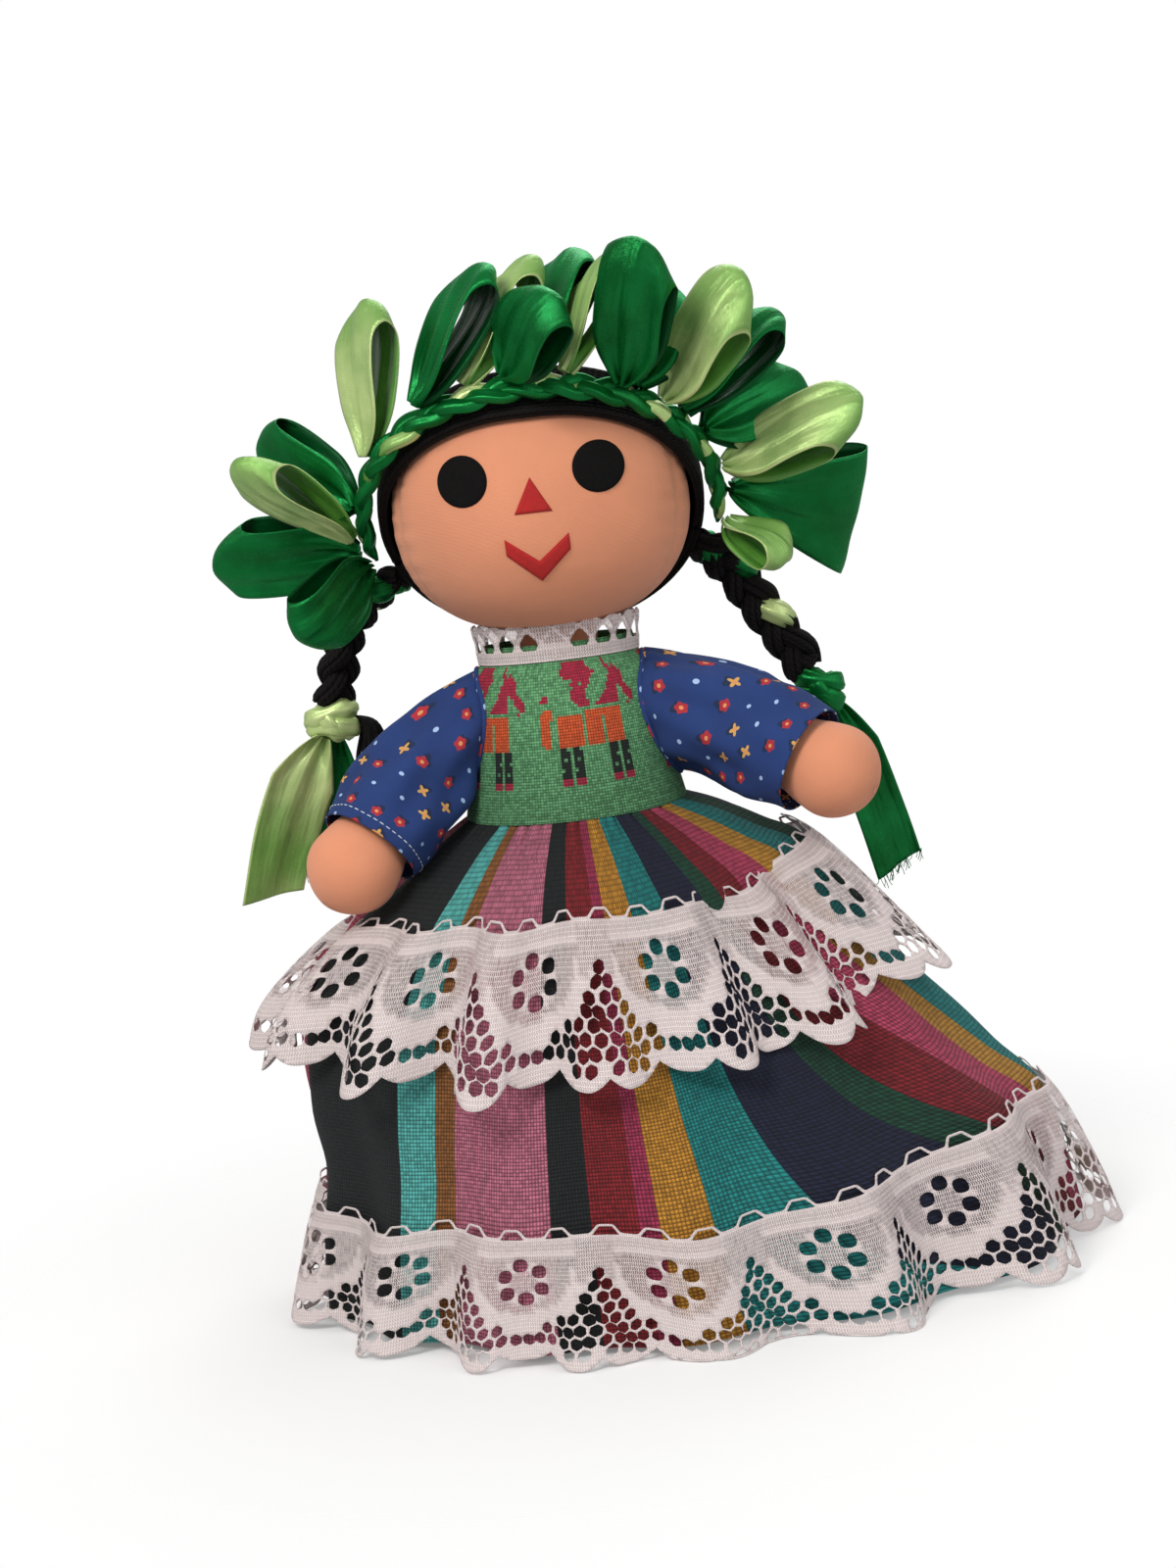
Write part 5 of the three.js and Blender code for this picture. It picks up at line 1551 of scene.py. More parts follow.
def make_shoe(side):
    """A felt slipper with a flat sole, sewn round its edge."""
    rise = smooth_curve([(0.0, 0.93, 0.0), (1.2, 0.985, 0.0), (3, 0.99, 0), (7, 0.985, 0.3), (12, 0.94, 1),
                         (16, 0.84, 3.6), (20, 0.74, 7), (25, 0.64, 9.2), (30, 0.56, 11)], 44)
    rise[0, 0] = 0
    rise[:, 0] = np.maximum(rise[:, 0], 0)
    turn = circle(64)
    half_length = SHOE_LENGTH / 2 * rise[:, 1:2]
    half_width = SHOE_WIDTH / 2 * np.minimum(1, rise[:, 1:2] + 0.07)
    outer = points_at(SIDES[side] * HIP_OFFSET + half_width * np.cos(turn),
                      rise[:, 2:3] - 0.24 * SHOE_LENGTH + half_length * np.sin(turn), rise[:, :1])
    inner = [points_at(SIDES[side] * HIP_OFFSET + radius * np.cos(turn), radius * np.sin(turn), height)
             for height, radius in ((30.2, 11.4), (27, 10.9), (19.5, 10.7), (16.2, 9.6), (15.8, 5.0))]
    soft_rim = (outer[-1] + inner[0]) / 2 + [0, 0, 0.4]
    rings = np.concatenate([outer, soft_rim[None], np.array(inner)])
    long = np.concatenate([rise[:, 0], 30 + np.arange(6) * 4]) * MM
    cloth = grid_of(np.linspace(0, 0.12, 65), long)
    shape = Shape()
    shape.add_closed(rings, cloth)
    shoe = shape.make(f"felt_shoe_{side}", MATERIALS["shoe_felt"])
    ride(shoe, f"leg_{side}", "shoe_felt", f"shoe_{side}")
    sole = np.concatenate([outer[8], outer[8][:1]])
    ride(stitches(f"shoe_stitches_{side}", [sole], "eye_felt", 3.0, 2.2, 0.55), f"leg_{side}", "shoe_felt")


# Woven figures of the bodice: one animal, cell by cell, its colours by letter
FIGURE = """
........rrrrrrrrr......r........
.......rrrrrrrrrrr.....rr.r.....
.......rrrrrrrrrrrr.....rrrr....
........rrrrrrrrrr......rrrrr...
...........rrrrrr......rrrrrr...
..........rrr.rrr......rrrrrr...
...........rrrrr......rrrrrrr...
..........rrrrr.......rrrr.rrr..
.rr.......rrrrr......rrrrr..rrr.
rrr.......rrrrr.....rrrrrr..rrrr
...........rrrrr...rrrrrrr...rrr
............rrrr..rrrrrrrr....rr
.ooo.........................r..
oooo..........oooooooooooo......
oooo.oooooooo.oooooooooooo......
""".split()
FIGURE += 7 * ["ooo..oooooooo.ooooo.oooooo......"] + [".oo..oooooooo.ooooo.oooooo......"]
FIGURE += 9 * [".....kkk.kkk........kkk.kkk....."] + 2 * [".....rrr.rrr........rrr.rrr....."]
FIGURE_COLOURS = {"r": (176, 36, 66), "o": (216, 88, 40), "k": (18, 32, 26)}
FIGURE_CELL = 1.2
FIGURE_TOP = 221.5
FIGURE_STEP = 44.4
FIGURE_START = -8.0


def figure_at(across, height):
    """The woven colour at a place on the bodice: none where the ground shows."""
    column = int(((across - FIGURE_START) % FIGURE_STEP) / FIGURE_CELL)
    row = int((FIGURE_TOP - height) / FIGURE_CELL)
    if not (0 <= row < len(FIGURE) and 0 <= column < len(FIGURE[0])):
        return None
    letter = FIGURE[row][column]
    if letter == "k" and row % 3 == 2 and (column * 7 + row) % 4 == 0:
        return None
    return FIGURE_COLOURS.get(letter)


def make_bodice():
    """Hand-woven cloth round the trunk, with its figures in a colour attribute and hollows for the shoulders
    at its sides.
    """
    columns, rows = 396, 92
    heights = np.linspace(BODICE[0][0], BODICE[-1][0], rows)
    turns = np.linspace(0, 2 * pi, columns + 1)
    wide, deep = bodice_half(heights)
    rings = points_at(wide[:, None] * np.sin(turns), deep[:, None] * np.cos(turns), heights[:, None])
    sag = wobble(rings, 26, 0.35, 9.0) * np.sin(np.linspace(0, pi, rows))[:, None]
    outward = unit(rings * [1, 1, 0])
    neckline = ((0.95, 6.4), (0.965, 4.2), (0.98, 2))
    neck = [rings[0] * [share, share, 1] + [0, 0, lift] for share, lift in neckline]
    rings = np.concatenate([neck, rings + outward * sag[..., None]])
    for side in SIDES:
        rings = outside_ball(rings, shoulder_point(side), 14.6)
    around = (pi - turns) * BODICE_RADIUS * MM
    down = np.concatenate([[-lift for _, lift in neckline], heights[0] - heights]) * MM
    shape = Shape()
    shape.add_shell(rings[:, :-1], grid_of(around, down), 0.6, wrap=True)
    bodice = shape.make("bodice_brocade", MATERIALS["bodice"])
    mesh = bodice.data
    layer = mesh.color_attributes.new("figure", "FLOAT_COLOR", "CORNER")
    colours = np.zeros((len(mesh.loops), 4))
    uv = mesh.uv_layers[0].data
    for face in mesh.polygons:
        places = np.array([uv[i].uv for i in face.loop_indices]).mean(axis=0) / MM
        found = figure_at(places[0], heights[0] - places[1])
        if found:
            colours[list(face.loop_indices)] = (*srgb(*found), 1)
    layer.data.foreach_set("color", colours.ravel())
    ride(bodice, "torso", "woven_green", "bodice")


ARMHOLE_HALF = (17.0, 22.0)
ARMHOLE_HEIGHT = 199.5


def armhole(side, turns, grow=0.0):
    """The seam where a sleeve joins the bodice: an oval that lies on the bodice's side."""
    y = (ARMHOLE_HALF[0] + grow) * np.cos(turns)
    z = ARMHOLE_HEIGHT + (ARMHOLE_HALF[1] + grow) * np.sin(turns)
    wide, deep = bodice_half(z)
    x = wide * np.sqrt(np.maximum(0.02, 1 - (y / deep) ** 2)) + 0.9
    return points_at(SIDES[side] * x, y, z)


def make_sleeve(side):
    """A wide printed sleeve from the armhole to its turned hem, with soft folds at the armpit."""
    columns, rows = 132, 76
    turns = circle(columns)
    way, start = arm_way(side), shoulder_point(side)
    up = unit(np.array([0, 0, 1.0]) - way * way[2])
    front = np.cross(up, way) * -SIDES[side]
    front = unit(front) * np.sign(front[1])
    share = np.linspace(0, 1, rows)[:, None]
    centre = start + way * (SLEEVE_LENGTH * (0.04 + 0.96 * share)) - np.array([0, 0, 1.2]) * share
    radius = np.interp(share, [0, 0.2, 0.45, 0.75, 0.92, 1], [17.5, 19.5, 20.6, 20.4, 19.4, 18.9])
    rings = rings_round(centre, front[None], up[None], turns, radius, radius)
    join = smoothstep(share / 0.5)[..., None]
    points = armhole(side, turns) * (1 - join) + rings * join
    under = hump(turns - 1.5 * pi, 0.9)
    over = hump(turns - 0.5 * pi, 0.8)
    rng = np.random.default_rng(5 if side == "left" else 8)
    phase = rng.uniform(0, 6, 4)
    bow = np.maximum(0, np.sin(pi * share)) ** 0.8
    lines = 1.5 * np.cos(5 * turns + 2.6 * share * pi + phase[0])
    lines = lines + 0.8 * np.cos(9 * turns + phase[1] - 4 * share)
    armpit = under * 1.9 * np.cos(13 * share + 1.5 * turns + phase[2]) * np.exp(-share * 1.2)
    crown = over * 1.1 * np.cos(16 * turns + phase[3]) * np.exp(-share * 7)
    gathered = lines * bow * 0.75 + armpit * smoothstep(share / 0.12) + crown * smoothstep(share / 0.06)
    gathered = gathered + wobble(points, 15, 0.9, 20 + SIDES[side]) * bow
    axis = start + ((points - start) @ way)[..., None] * way
    outward = unit(points - axis)
    points = points + outward * gathered[..., None]
    reach = np.linalg.norm(points - axis, axis=-1)
    along = (points - start) @ way
    arm = np.interp(along, *np.array(ARM_STOPS).T) + 1.7
    push = np.maximum(0, arm - reach) * smoothstep(along / 6) * smoothstep(share / 0.1)
    points = points + outward * push[..., None]
    points[..., 2] += rise_over_skirt(points)
    long = lengths_along(points[:, 0])[-1] * 1.05
    shape = Shape()
    shape.add_shell(points, cloth_grid(2 * pi * 20, long, columns + 1, rows), 0.6, wrap=True)
    sleeve = shape.make(f"sleeve_calico_{side}", MATERIALS["sleeve"])
    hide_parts(f"sleeve_{side}")
    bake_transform(sleeve)
    hem = points[int(rows * 0.925)] + outward[int(rows * 0.925)] * 0.12
    hem = np.concatenate([hem, hem[:1]])
    row_of_stitches = stitches(f"sleeve_stitches_{side}", [hem], "thread", 2.6, 1.9, 0.42)
    ride(row_of_stitches, f"arm_{side}", "navy_calico")
    shape = Shape()
    wrap_seam(shape, armhole(side, turns, 0.3), 1.0)
    roll = shape.make(f"armhole_roll_{side}", MATERIALS["sleeve"])
    ride(roll, f"shoulder_{side}", "navy_calico", f"armhole_seam_{side}")


def wrap_seam(shape, seam, radius):
    """A closed roll of cloth along a seam line, pinched at each stitch."""
    tangent = unit(np.roll(seam, -1, axis=0) - np.roll(seam, 1, axis=0))
    side = unit(np.cross(tangent, [1.0, 0, 0]))
    pinch = radius * (1 + 0.12 * np.cos(np.arange(len(seam)) * pi))[:, None]
    rings = rings_round(seam, side, np.cross(tangent, side), circle(10), pinch, pinch)
    shape.add_hoop(rings, cloth_grid(6, 110, 11, len(seam) + 1))


def rise_over_skirt(points):
    """How far each point has to rise to stay outside the skirt's top."""
    turn = np.arctan2(points[..., 1], points[..., 0])
    radius = np.hypot(points[..., 0], points[..., 1])
    top = np.zeros(turn.shape)
    for row in np.linspace(0, 4.4, 45):
        edge = skirt_surface(turn, np.full(turn.shape, row), 1.2)
        covered = np.hypot(edge[..., 0], edge[..., 1]) > radius
        top = np.where(covered & (top == 0), edge[..., 2], top)
    return np.where(top > 0, np.maximum(0, top + 0.6 - points[..., 2]), 0)


def make_collar():
    """A gathered strip of lace round the neck: a dense foot, stems between holes, and a scalloped top."""
    repeat, height, count = 7.5, 14.0, 20
    shape_points, faces, sheer = collar_lace(repeat, height, count)
    whole = repeat * count
    turn = shape_points[:, 0] / whole * 2 * pi
    rise = shape_points[:, 1]
    foot = 223.4
    flare = 0.9 + 0.085 * rise + 0.35 * np.cos(count * turn) * rise / height
    half_width, half_depth = 28.0 + flare, 19.0 + flare
    top_points = points_at(half_width * np.sin(turn), half_depth * -np.cos(turn), foot + rise)
    outward = unit(points_at(np.sin(turn) / half_width, -np.cos(turn) / half_depth, 0.0))
    piece = lace_piece("collar_net", shape_points, faces, sheer, top_points, outward, whole, 0.4)
    ride(piece, "torso", "white_lace", "collar_lace")


def oval(x, y, half_width, half_height):
    """An oval hole with slightly squared corners."""
    power = 2.7
    c, s = np.cos(circle(14)), np.sin(circle(14))
    reach = (np.abs(c) ** power + np.abs(s) ** power) ** (-1 / power)
    return np.stack([x + half_width * c * reach, y + half_height * s * reach], -1)


def strip_outline(x, bottom, top, count):
    """The closed outline of a strip of lace, from its lower and upper edges."""
    ends = np.linspace(bottom[-1], top[-1], count)[1:-1]
    right = np.stack([np.full(len(ends), x[-1]), ends], -1)
    left = np.stack([np.zeros(len(ends)), ends[::-1]], -1)
    return np.concatenate([np.stack([x, bottom], -1), right, np.stack([x, top], -1)[::-1], left])


def collar_lace(repeat, height, count):
    """Fans of sheer net on short stems that rise from a dense foot."""
    whole = repeat * count
    x = np.linspace(0, whole, count * 16 + 1)
    scallop = height - 1.6 + 1.5 * np.abs(np.sin(pi * x / repeat))
    hole = np.array([(-2.0, 4.4), (2.0, 4.4), (2.8, 6.0), (2.5, 7.6), (0.5, 10.4), (-0.5, 10.4), (-2.5, 7.6),
                     (-2.8, 6.0)])
    holes = [refined(hole + [number * repeat, 0], 1.2) for number in range(1, count)]

    def sheer_at(points):
        local = np.abs(points[:, 0] % repeat - repeat / 2)
        y = points[:, 1]
        spoke = np.abs(local - np.maximum(0.3, (y - 6.8) * 0.72)) < 0.5
        net = (y > 6.4) & (y < height - 1.8 + 1.2 * (1 - local / repeat * 2)) & ~spoke
        return np.where(net, 0.9, np.where((y > 1.2) & (y < 4.2), 0.5, 0.0))
    return lace_flat(strip_outline(x, 0 * x, scallop, 9), holes, 0.8, sheer_at)


def lace_flat(outline, holes, step, sheer_at):
    """Triangles of a flat piece of lace with open holes, and how sheer each point is."""
    low, high = outline.min(axis=0), outline.max(axis=0)
    columns = np.arange(low[0] + step / 2, high[0], step)
    rows = np.arange(low[1] + step / 2, high[1], step)
    grid = grid_of(columns, rows).reshape(-1, 2)
    grid = grid[inside(grid, outline)]
    near = np.full(len(grid), 1e9)
    order = np.argsort(grid[:, 0])
    grid = grid[order]
    for hole in holes:
        a, b = np.searchsorted(grid[:, 0], [hole[:, 0].min() - 1.5, hole[:, 0].max() + 1.5])
        part = grid[a:b]
        if not len(part):
            continue
        gap = np.linalg.norm(part[:, None] - hole[None], axis=-1).min(axis=1)
        gap[inside(part, hole)] = 0
        near[a:b] = np.minimum(near[a:b], gap)
    grid = grid[near > 0.55]
    points, faces = flat_mesh([outline, *holes], grid)
    centres = points[faces].mean(axis=1)
    keep = inside(centres, outline)
    order = np.argsort(centres[:, 0])
    ordered = centres[order, 0]
    for hole in holes:
        a, b = np.searchsorted(ordered, [hole[:, 0].min(), hole[:, 0].max()])
        part = order[a:b]
        keep[part[inside(centres[part], hole)]] = False
    return points, faces[keep], sheer_at(points)


def lace_piece(name, flat, faces, sheer, points, outward, whole, thickness):
    """Lays flat lace along the given points, whose two ends meet, and gives it its thickness."""
    shape = Shape()
    half = outward * thickness / 2
    rim = []
    for a, b in boundary_edges(faces):
        low, high = sorted((flat[a, 0], flat[b, 0]))
        if high - low > 1e-3 or (low > 1e-3 and high < whole - 1e-3):
            rim.append((a, b))
    shape.add_flat(points + half, points - half, faces, flat * MM, rim)
    piece = shape.make(name, MATERIALS["lace"], recalculate=False)
    layer = piece.data.attributes.new("sheer", "FLOAT", "POINT")
    layer.data.foreach_set("value", np.tile(sheer, 2).astype(np.float32))
    join = bmesh.new()
    join.from_mesh(piece.data)
    bmesh.ops.remove_doubles(join, verts=join.verts, dist=2e-5)
    bmesh.ops.recalc_face_normals(join, faces=join.faces)
    join.to_mesh(piece.data)
    join.free()
    return piece


# The skirt and its two ruffles
def make_skirt():
    """Heavy striped cloth gathered at the waist, with rolled folds down to the hem."""
    columns, rows = 480, 62
    turn = np.linspace(-pi / 2 - pi, pi / 2, columns + 1)
    row = np.concatenate([np.linspace(0, 1.4, 16)[:-1], np.linspace(1.4, SKIRT_ROWS - 1, rows - 15)])
    turns, levels = np.meshgrid(turn, row)
    share = levels / (SKIRT_ROWS - 1)
    gathers = np.exp(-share * 13) * np.minimum(1, share * 70 + 0.25)
    pleats = gathers * (0.95 * np.cos(62 * turns + 3 * np.sin(5 * turns)) + 0.5 * np.cos(37 * turns + 2))
    slow = skirt_surface(turns, levels)
    ripple = wobble(slow, 30, 1.5, 4.0) * smoothstep((share - 0.08) / 0.3)
    points = skirt_surface(turns, levels, pleats + ripple - 0.35)[:, :-1]
    down = lengths_along(points.mean(axis=1))
    down = down / down[-1] * SKIRT_LENGTH * MM
    around = (turn + pi / 2) / (2 * pi) * SKIRT_WIDTH * MM
    cloth = grid_of(around, down)
    pulled = radians(42) * share**1.5 * hump(turns + pi / 2 - radians(75), 0.7)
    cloth[..., 0] -= pulled / (2 * pi) * SKIRT_WIDTH * MM
    shape = Shape()
    shape.add_shell(points[::-1], cloth[::-1], 0.8, wrap=True)
    skirt = shape.make("skirt_cloth", MATERIALS["skirt"])
    ride(skirt, "torso", "striped_cloth", "skirt")


LACE_REPEAT = 57.0
LACE_DEPTH = 50.0
MEDALLION = (0.0, -6.5, 21.0, 23.5)
CORD_HEIGHT = 3.4


def edge_wave(x, repeat):
    """The trapezoid waves of the lace's corded top edge."""
    wave = np.sin(2 * pi * np.asarray(x) / (repeat / 3))
    return CORD_HEIGHT * np.clip(0.5 + 1.05 * wave, 0, 1)


def medallion_edge(x, grow=0.0):
    """How low the D-shaped medallion reaches at a place across it, or 0 outside it."""
    middle, top, half, deep = MEDALLION
    across = np.clip(1 - np.abs((x - middle) / (half + grow)) ** 2.3, 0, 1)
    return np.where(np.abs(x - middle) < half + grow, top - (deep + grow) * np.sqrt(across), 0.0)


def net_holes(x0, repeat, bar):
    """Six-sided mesh openings below the medallions and in the peaks between them, a little uneven."""
    holes = []
    step = repeat / 12
    corner = (np.arange(12) // 2 + 0.5 + 0.13 * (np.arange(12) % 2 * 2 - 1)) / 6 * 2 * pi
    radius = (step - bar) / 2 / cos(pi / 6)
    for row in range(9):
        y = -14.4 - 4.15 * row
        for column in range(12):
            x = (column + 0.5 * (row % 2)) * step - repeat / 2 + 0.25 * step
            from_peak = repeat / 2 - abs(x)
            low = float(medallion_edge(np.array([x]), 3.4)[0]) or -99
            peak = -12.5 - max(0.0, from_peak - 1.0) * 1.15
            limit = low - 2.4 if low > -99 else peak
            if low > -99 and from_peak < 10:
                limit = min(limit, peak + 1)
            if y > limit or y - 1.5 < -LACE_DEPTH + 3.2 + edge_rise(x, repeat):
                continue
            hole = np.stack([x + radius * np.cos(corner), y + radius * np.sin(corner)], -1)
            warp = [0.6 * np.sin(0.42 * hole[:, 1] + 0.3 * x), 0.5 * np.sin(0.36 * hole[:, 0] + 0.2 * y)]
            holes.append(hole + np.stack(warp, -1) + [x0, 0])
    return holes


def edge_rise(x, repeat):
    """The scallops of the lower edge: how far it lies above its lowest line."""
    wave = 4.4 * (1 - np.abs(np.cos(pi * np.asarray(x) / (repeat / 3)))) ** 1.3
    return wave + 2.2 * np.cos(pi * np.asarray(x) / repeat) ** 2


def ruffle_lace(repeats, bar):
    """Flat lace for a whole ruffle: corded top edge, medallions, net and scallops."""
    repeat = LACE_REPEAT
    whole = repeat * repeats
    x = np.linspace(0, whole, repeats * 48 + 1)
    bottom = -LACE_DEPTH + edge_rise(x - repeat / 2, repeat)
    outline = strip_outline(x, bottom, edge_wave(x, repeat), 30)
    peak = np.array([(-5.4, -0.7), (5.4, -0.7), (2.7, CORD_HEIGHT - 0.9), (-2.7, CORD_HEIGHT - 0.9)])
    holes = []
    for number in range(repeats):
        x0 = (number + 0.5) * repeat
        for wave in range(3):
            holes.append(refined(peak + [x0 - repeat / 2 + (wave + 0.25) * repeat / 3, 0], 1.5))
        for turn in range(6):
            angle = (turn + 0.5) * pi / 3 + 0.12
            place = (x0 + 7.6 * cos(angle), -17.2 + 6.6 * sin(angle))
            holes.append(oval(*place, 2.9, 2.5))
        holes += net_holes(x0, repeat, bar)

    def sheer_at(points):
        local = (points[:, 0] % repeat) - repeat / 2
        y = points[:, 1]
        edge = medallion_edge(local)
        within = (edge < 0) & (y > edge + 1.2) & (y < MEDALLION[1] - 1.2)
        ring = np.abs(np.hypot(local / 7.6, (y + 17.2) / 6.6) - 1) < 0.3
        band = (y < -2) & (y > MEDALLION[1] + 0.5)
        plain = (y < -2.2) & ~within & (y > -13 - 0.9 * (repeat / 2 - np.abs(local))) & (edge == 0)
        return np.where(within & ~ring, 1.0, np.where(plain, 0.75, np.where(band, 0.5, 0.0)))
    return (*lace_flat(outline, holes, 2.0, sheer_at), whole)


def even_rows(rows):
    """The skirt's row at any turn and share of the way down between two rows, measured along its surface."""
    turns, fine = np.linspace(0, 2 * pi, 241), np.linspace(*rows, 31)
    points = skirt_surface(*np.meshgrid(turns, fine))
    far = np.cumsum(np.linalg.norm(np.diff(points, axis=0), axis=-1), axis=0)
    far = np.concatenate([0 * far[:1], far]) / far[-1]
    shares = np.linspace(0, 1, 17)
    table = np.array([np.interp(shares, far[:, column], fine) for column in range(len(turns))]).T

    def row_at(turn, share):
        levels = np.array([np.interp(turn % (2 * pi), turns, level) for level in table])
        place = np.clip(share, -0.2, 1.1) * 16
        low = np.clip(place.astype(int), 0, 15)
        pick = np.arange(len(turn))
        return levels[low, pick] + (place - low) * (levels[low + 1, pick] - levels[low, pick])
    return row_at


def folds_of(whole, row, count, seed, start):
    """Folds cloth round the skirt without stretching it: each place's turn, and how far it stands off."""
    steps = 3000
    along = np.linspace(0, whole, steps + 1)
    turn = 2 * pi * along / whole
    phase = count * turn + 1.3 * np.sin(2 * turn + seed) + 0.9 * np.sin(3 * turn + 2 * seed)
    lean = np.sin(phase) * (1 + 0.25 * np.sin(5 * turn + seed))
    turns = start + np.linspace(0, 2 * pi, steps + 1)
    ring = lengths_along(skirt_surface(turns, np.full(steps + 1, row), 5.0))
    low, high = 0.0, 1.5
    for _ in range(30):
        bend = (low + high) / 2
        if np.mean(np.cos(bend * lean)) * whole > ring[-1]:
            low = bend
        else:
            high = bend
    round_it = np.concatenate([[0], np.cumsum(np.cos(bend * lean[:-1]))])
    out = np.cumsum(np.sin(bend * lean[:-1])) * whole / steps
    waves = np.fft.rfft(out)
    waves[:count // 2] = 0
    out = np.fft.irfft(waves, steps)
    out = np.append(out, out[0]) - out.min()
    return along, np.interp(round_it / round_it[-1] * ring[-1], ring, turns), out


# Each ruffle: its piece, node and skirt rows, its repeats and folds, its first turn in degrees, lift and seed
RUFFLES = [
    ("ruffle_upper", "skirt_lace_upper", (2.8, 5.1), 14, 15, -262, 0.0, 1.0),
    ("ruffle_hem", "skirt_lace_hem", (7.9, 10), 16, 17, -270, -2.0, 2.0),
]


def make_ruffle(name, node_name, rows, repeats, count, start, lift, seed, bar):
    """Lays the flat lace round the skirt in deep soft folds."""
    flat, faces, sheer, whole = ruffle_lace(repeats, bar)
    folds = folds_of(whole, rows[0] + 0.6 * (rows[1] - rows[0]), count, seed, radians(start))
    even = even_rows(rows)

    def lay(x, share):
        turn, out = np.interp(x, folds[0], folds[1]), np.interp(x, folds[0], folds[2])
        away = 1.3 + out * (0.25 + 0.9 * np.clip(share, 0, 1) ** 0.8)
        rise = 2.2 * np.sin(3 * turn + seed) + 1.5 * np.sin(5 * turn + 2 * seed) + 0.8 * np.sin(11 * turn)
        points = skirt_surface(turn, even(turn, share), away, rise + lift * share - 0.16 * out * share)
        points[..., 2] = np.maximum(points[..., 2], 0.6)
        return points
    x, share = flat[:, 0], np.clip(-flat[:, 1] / LACE_DEPTH, -0.08, 1.05)
    points = lay(x, share)
    ahead = lay(np.minimum(x + 0.4, whole), share) - lay(np.maximum(x - 0.4, 0), share)
    outward = unit(np.cross(ahead, lay(x, share - 0.02) - lay(x, share + 0.02)))
    piece = lace_piece(name, flat, faces, sheer, points, outward, whole, 0.42)
    ride(piece, "torso", "white_lace", node_name)
    area = float(np.sum(triangle_areas(flat, faces))) * MM * MM


def triangle_areas(points, faces):
    a, b, c = (points[faces[:, i]] for i in range(3))
    return np.abs(np.cross(b - a, c - a)) / 2


# Camera, lamps and floor
LOOK_AT = (0, 0, 166.0)
PICTURE_SHIFT = (3.72, 10.27)
LAMP_MIDDLE = (0, 0, 190.0)
LAMPS = [("key", (-0.55, -0.95, 0.95), 0.55, 14.0, (1.0, 0.985, 0.96)),
         ("fill", (0.9, -0.8, 0.45), 0.9, 4.0, (0.97, 0.985, 1.0)),
         ("rim", (0.25, 0.85, 0.9), 0.7, 6.0, (1.0, 1.0, 1.0))]


def make_camera(settings):
    camera = placed("Camera", bpy.data.cameras.new("Camera"))
    bpy.context.scene.camera = camera
    turn, level = settings.azimuth, cos(settings.elevation)
    back = np.array([sin(turn) * level, -cos(turn) * level, sin(settings.elevation)])
    right = unit(np.cross([0, 0, 1.0], back))
    up = np.cross(back, right)
    right, up = (right * cos(settings.roll) - up * sin(settings.roll),
                 right * sin(settings.roll) + up * cos(settings.roll))
    target = (np.array(LOOK_AT) + right * PICTURE_SHIFT[0] + up * PICTURE_SHIFT[1]) * MM + AXIS
    matrix = np.eye(4)
    matrix[:3] = np.stack([right, up, back, target + back * settings.distance], -1)
    camera.matrix_world = Matrix(matrix.tolist())
    camera.data.sensor_width, camera.data.lens = 36, 63.45
    camera.data.clip_start, camera.data.clip_end = 0.01, 50


def make_floor(colour):
    """A pale floor that fades out round the doll."""
    mesh = bpy.data.meshes.new("floor")
    mesh.from_pydata([(-6, -6, 0), (6, -6, 0), (6, 6, 0), (-6, 6, 0)], [], [(0, 1, 2, 3)])
    look = bpy.data.materials.new("Floor")
    look.use_nodes = True
    tree = look.node_tree
    shader = tree.nodes["Principled BSDF"].inputs
    shader["Base Color"].default_value = (*colour, 1)
    shader["Roughness"].default_value = 0.9
    shader["Specular IOR Level"].default_value = 0.1
    place = Wire(tree.nodes.new("ShaderNodeTexCoord").outputs["Object"])
    away = place.after("ShaderNodeVectorMath", {0: place, 1: AXIS.tolist()}, "Value", operation="DISTANCE")
    tree.links.new(away.stretch(0.1, 0.3, 0.85, 0).socket, shader["Alpha"])
    mesh.materials.append(look)
    placed("floor", mesh)


def make_lamps():
    middle = np.array(LAMP_MIDDLE) * MM + AXIS
    for name, offset, size, power, colour in LAMPS:
        data = bpy.data.lights.new(name, "AREA")
        data.size, data.energy, data.color = size, power, colour
        lamp = placed(name, data)
        lamp.location = (middle + offset).tolist()
        lamp.rotation_mode = "QUATERNION"
        lamp.rotation_quaternion = Vector(offset).to_track_quat("Z", "Y")


def make_stage(settings):
    make_camera(settings)
    make_floor(settings.floor)
    make_lamps()
    scene = bpy.context.scene
    scene.world = bpy.data.worlds.new("World")
    scene.world.use_nodes = True
    tree = scene.world.node_tree
    sky = tree.nodes["Background"]
    sky.inputs["Color"].default_value = (1, 1, 1, 1)
    sky.inputs["Strength"].default_value = 0.46
    white = node(tree, "ShaderNodeBackground", {"Color": (1, 1, 1, 1), "Strength": 1.0})
    path = node(tree, "ShaderNodeLightPath").outputs["Is Camera Ray"]
    blend = node(tree, "ShaderNodeMixShader", {0: path, 1: sky.outputs[0], 2: white.outputs[0]})
    tree.links.new(blend.outputs[0], tree.nodes["World Output"].inputs["Surface"])
    scene.view_settings.view_transform = "Standard"


# Operators: one for each group of pieces, and one for the stage
class Step:
    """What the operators share: each makes its own pieces."""

    def execute(self, context):
        self.make(context.scene)
        return {"FINISHED"}


class DOLL_OT_prepare(Step, bpy.types.Operator):
    """Make the materials and the node groups that the doll's pieces share"""
    bl_idname, bl_label = "doll.prepare", "Prepare Materials"

    def make(self, scene):
        build_materials(scene)
        TREES.update(yarn=yarn_group(), stitch=stitch_group())


class DOLL_OT_head(Step, bpy.types.Operator):
    """Make the stuffed head and its felt face"""
    bl_idname, bl_label = "doll.head", "Make Head"

    def make(self, _scene):
        make_face(make_head_ball())


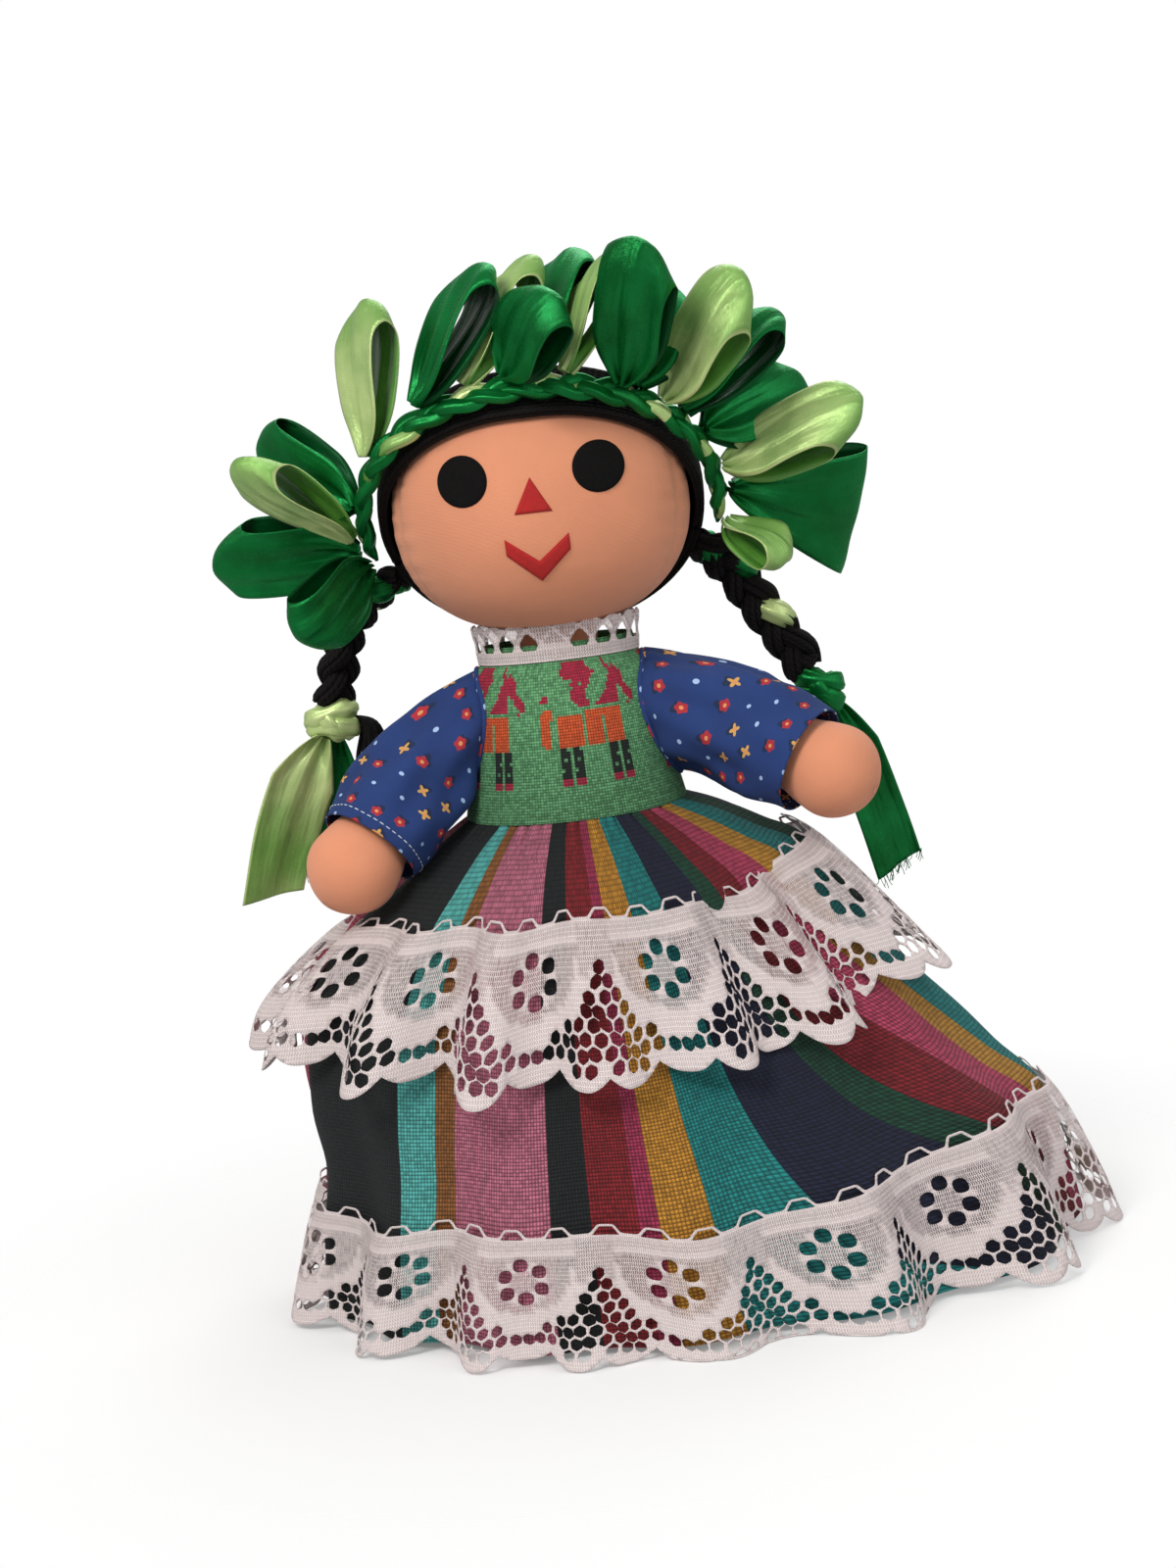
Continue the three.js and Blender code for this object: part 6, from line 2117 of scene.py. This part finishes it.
class DOLL_OT_hair(Step, bpy.types.Operator):
    """Make the yarn hair, the side braids and their loose ends"""
    bl_idname, bl_label = "doll.hair", "Make Hair"

    def make(self, scene):
        make_hair_cap(scene.doll_hair)
        for side in SIDES:
            make_side_braid(side)
            make_tuft(side)


class DOLL_OT_crown(Step, bpy.types.Operator):
    """Make the crown braid and its loops of ribbon"""
    bl_idname, bl_label = "doll.crown", "Make Ribbon Crown"

    def make(self, _scene):
        make_crown_braid()
        for number, loop in enumerate(LOOPS, 1):
            make_ribbon_loop(number, *loop)


class DOLL_OT_braid_ribbons(Step, bpy.types.Operator):
    """Make the ribbons in the side braids, their knots and their tails"""
    bl_idname, bl_label = "doll.braid_ribbons", "Make Braid Ribbons"

    def make(self, _scene):
        for side in SIDES:
            make_braid_wraps(side)
            make_knot(side)
        for name in TAILS:
            make_tail(name)


class DOLL_OT_body(Step, bpy.types.Operator):
    """Make the trunk, the neck, the arms, the legs and the shoes"""
    bl_idname, bl_label = "doll.body", "Make Body"

    def make(self, _scene):
        make_torso()
        make_neck()
        for side in SIDES:
            make_arm(side)
            make_leg(side)
            make_shoe(side)


class DOLL_OT_dress(Step, bpy.types.Operator):
    """Make the woven bodice, the lace collar and the printed sleeves"""
    bl_idname, bl_label = "doll.dress", "Make Bodice and Sleeves"

    def make(self, _scene):
        make_bodice()
        make_collar()
        for side in SIDES:
            make_sleeve(side)


class DOLL_OT_skirt(Step, bpy.types.Operator):
    """Make the striped skirt and its two lace ruffles"""
    bl_idname, bl_label = "doll.skirt", "Make Skirt"

    def make(self, scene):
        make_skirt()
        for ruffle in RUFFLES:
            make_ruffle(*ruffle, scene.doll_lace.bar / MM)


class DOLL_OT_stage(Step, bpy.types.Operator):
    """Make the camera, the lamps and the floor"""
    bl_idname, bl_label = "doll.stage", "Make Stage"

    def make(self, scene):
        make_stage(scene.doll_stage)


OPERATORS = [DOLL_OT_prepare, DOLL_OT_body, DOLL_OT_head, DOLL_OT_hair, DOLL_OT_crown, DOLL_OT_braid_ribbons,
             DOLL_OT_dress, DOLL_OT_skirt, DOLL_OT_stage]


class DOLL_PT_panel(bpy.types.Panel):
    """Settings and steps of the doll"""
    bl_idname = "DOLL_PT_panel"
    bl_label = "Rag Doll"
    bl_space_type = "VIEW_3D"
    bl_region_type = "UI"
    bl_category = "Rag Doll"

    def draw(self, context):
        for name in SETTINGS:
            box = self.layout.box()
            settings = getattr(context.scene, name)
            for key in settings.__annotations__:
                box.prop(settings, key)
        for operator in OPERATORS:
            self.layout.operator(operator.bl_idname)


SETTINGS = {
    "doll_cloth": ClothSettings,
    "doll_hair": HairSettings,
    "doll_ribbon": RibbonSettings,
    "doll_lace": LaceSettings,
    "doll_stage": StageSettings,
}


def register():
    for settings in SETTINGS.values():
        bpy.utils.register_class(settings)
    for name, settings in SETTINGS.items():
        setattr(bpy.types.Scene, name, bpy.props.PointerProperty(type=settings))
    for operator in OPERATORS:
        bpy.utils.register_class(operator)
    bpy.utils.register_class(DOLL_PT_panel)


def unregister():
    bpy.utils.unregister_class(DOLL_PT_panel)
    for operator in reversed(OPERATORS):
        bpy.utils.unregister_class(operator)
    for name, settings in SETTINGS.items():
        delattr(bpy.types.Scene, name)
        bpy.utils.unregister_class(settings)


def main():
    register()
    for operator in OPERATORS:
        group, name = operator.bl_idname.split(".")
        if getattr(getattr(bpy.ops, group), name)() != {"FINISHED"}:
            raise RuntimeError(f"{operator.bl_idname} didn't finish")


if __name__ == "__main__":
    main()
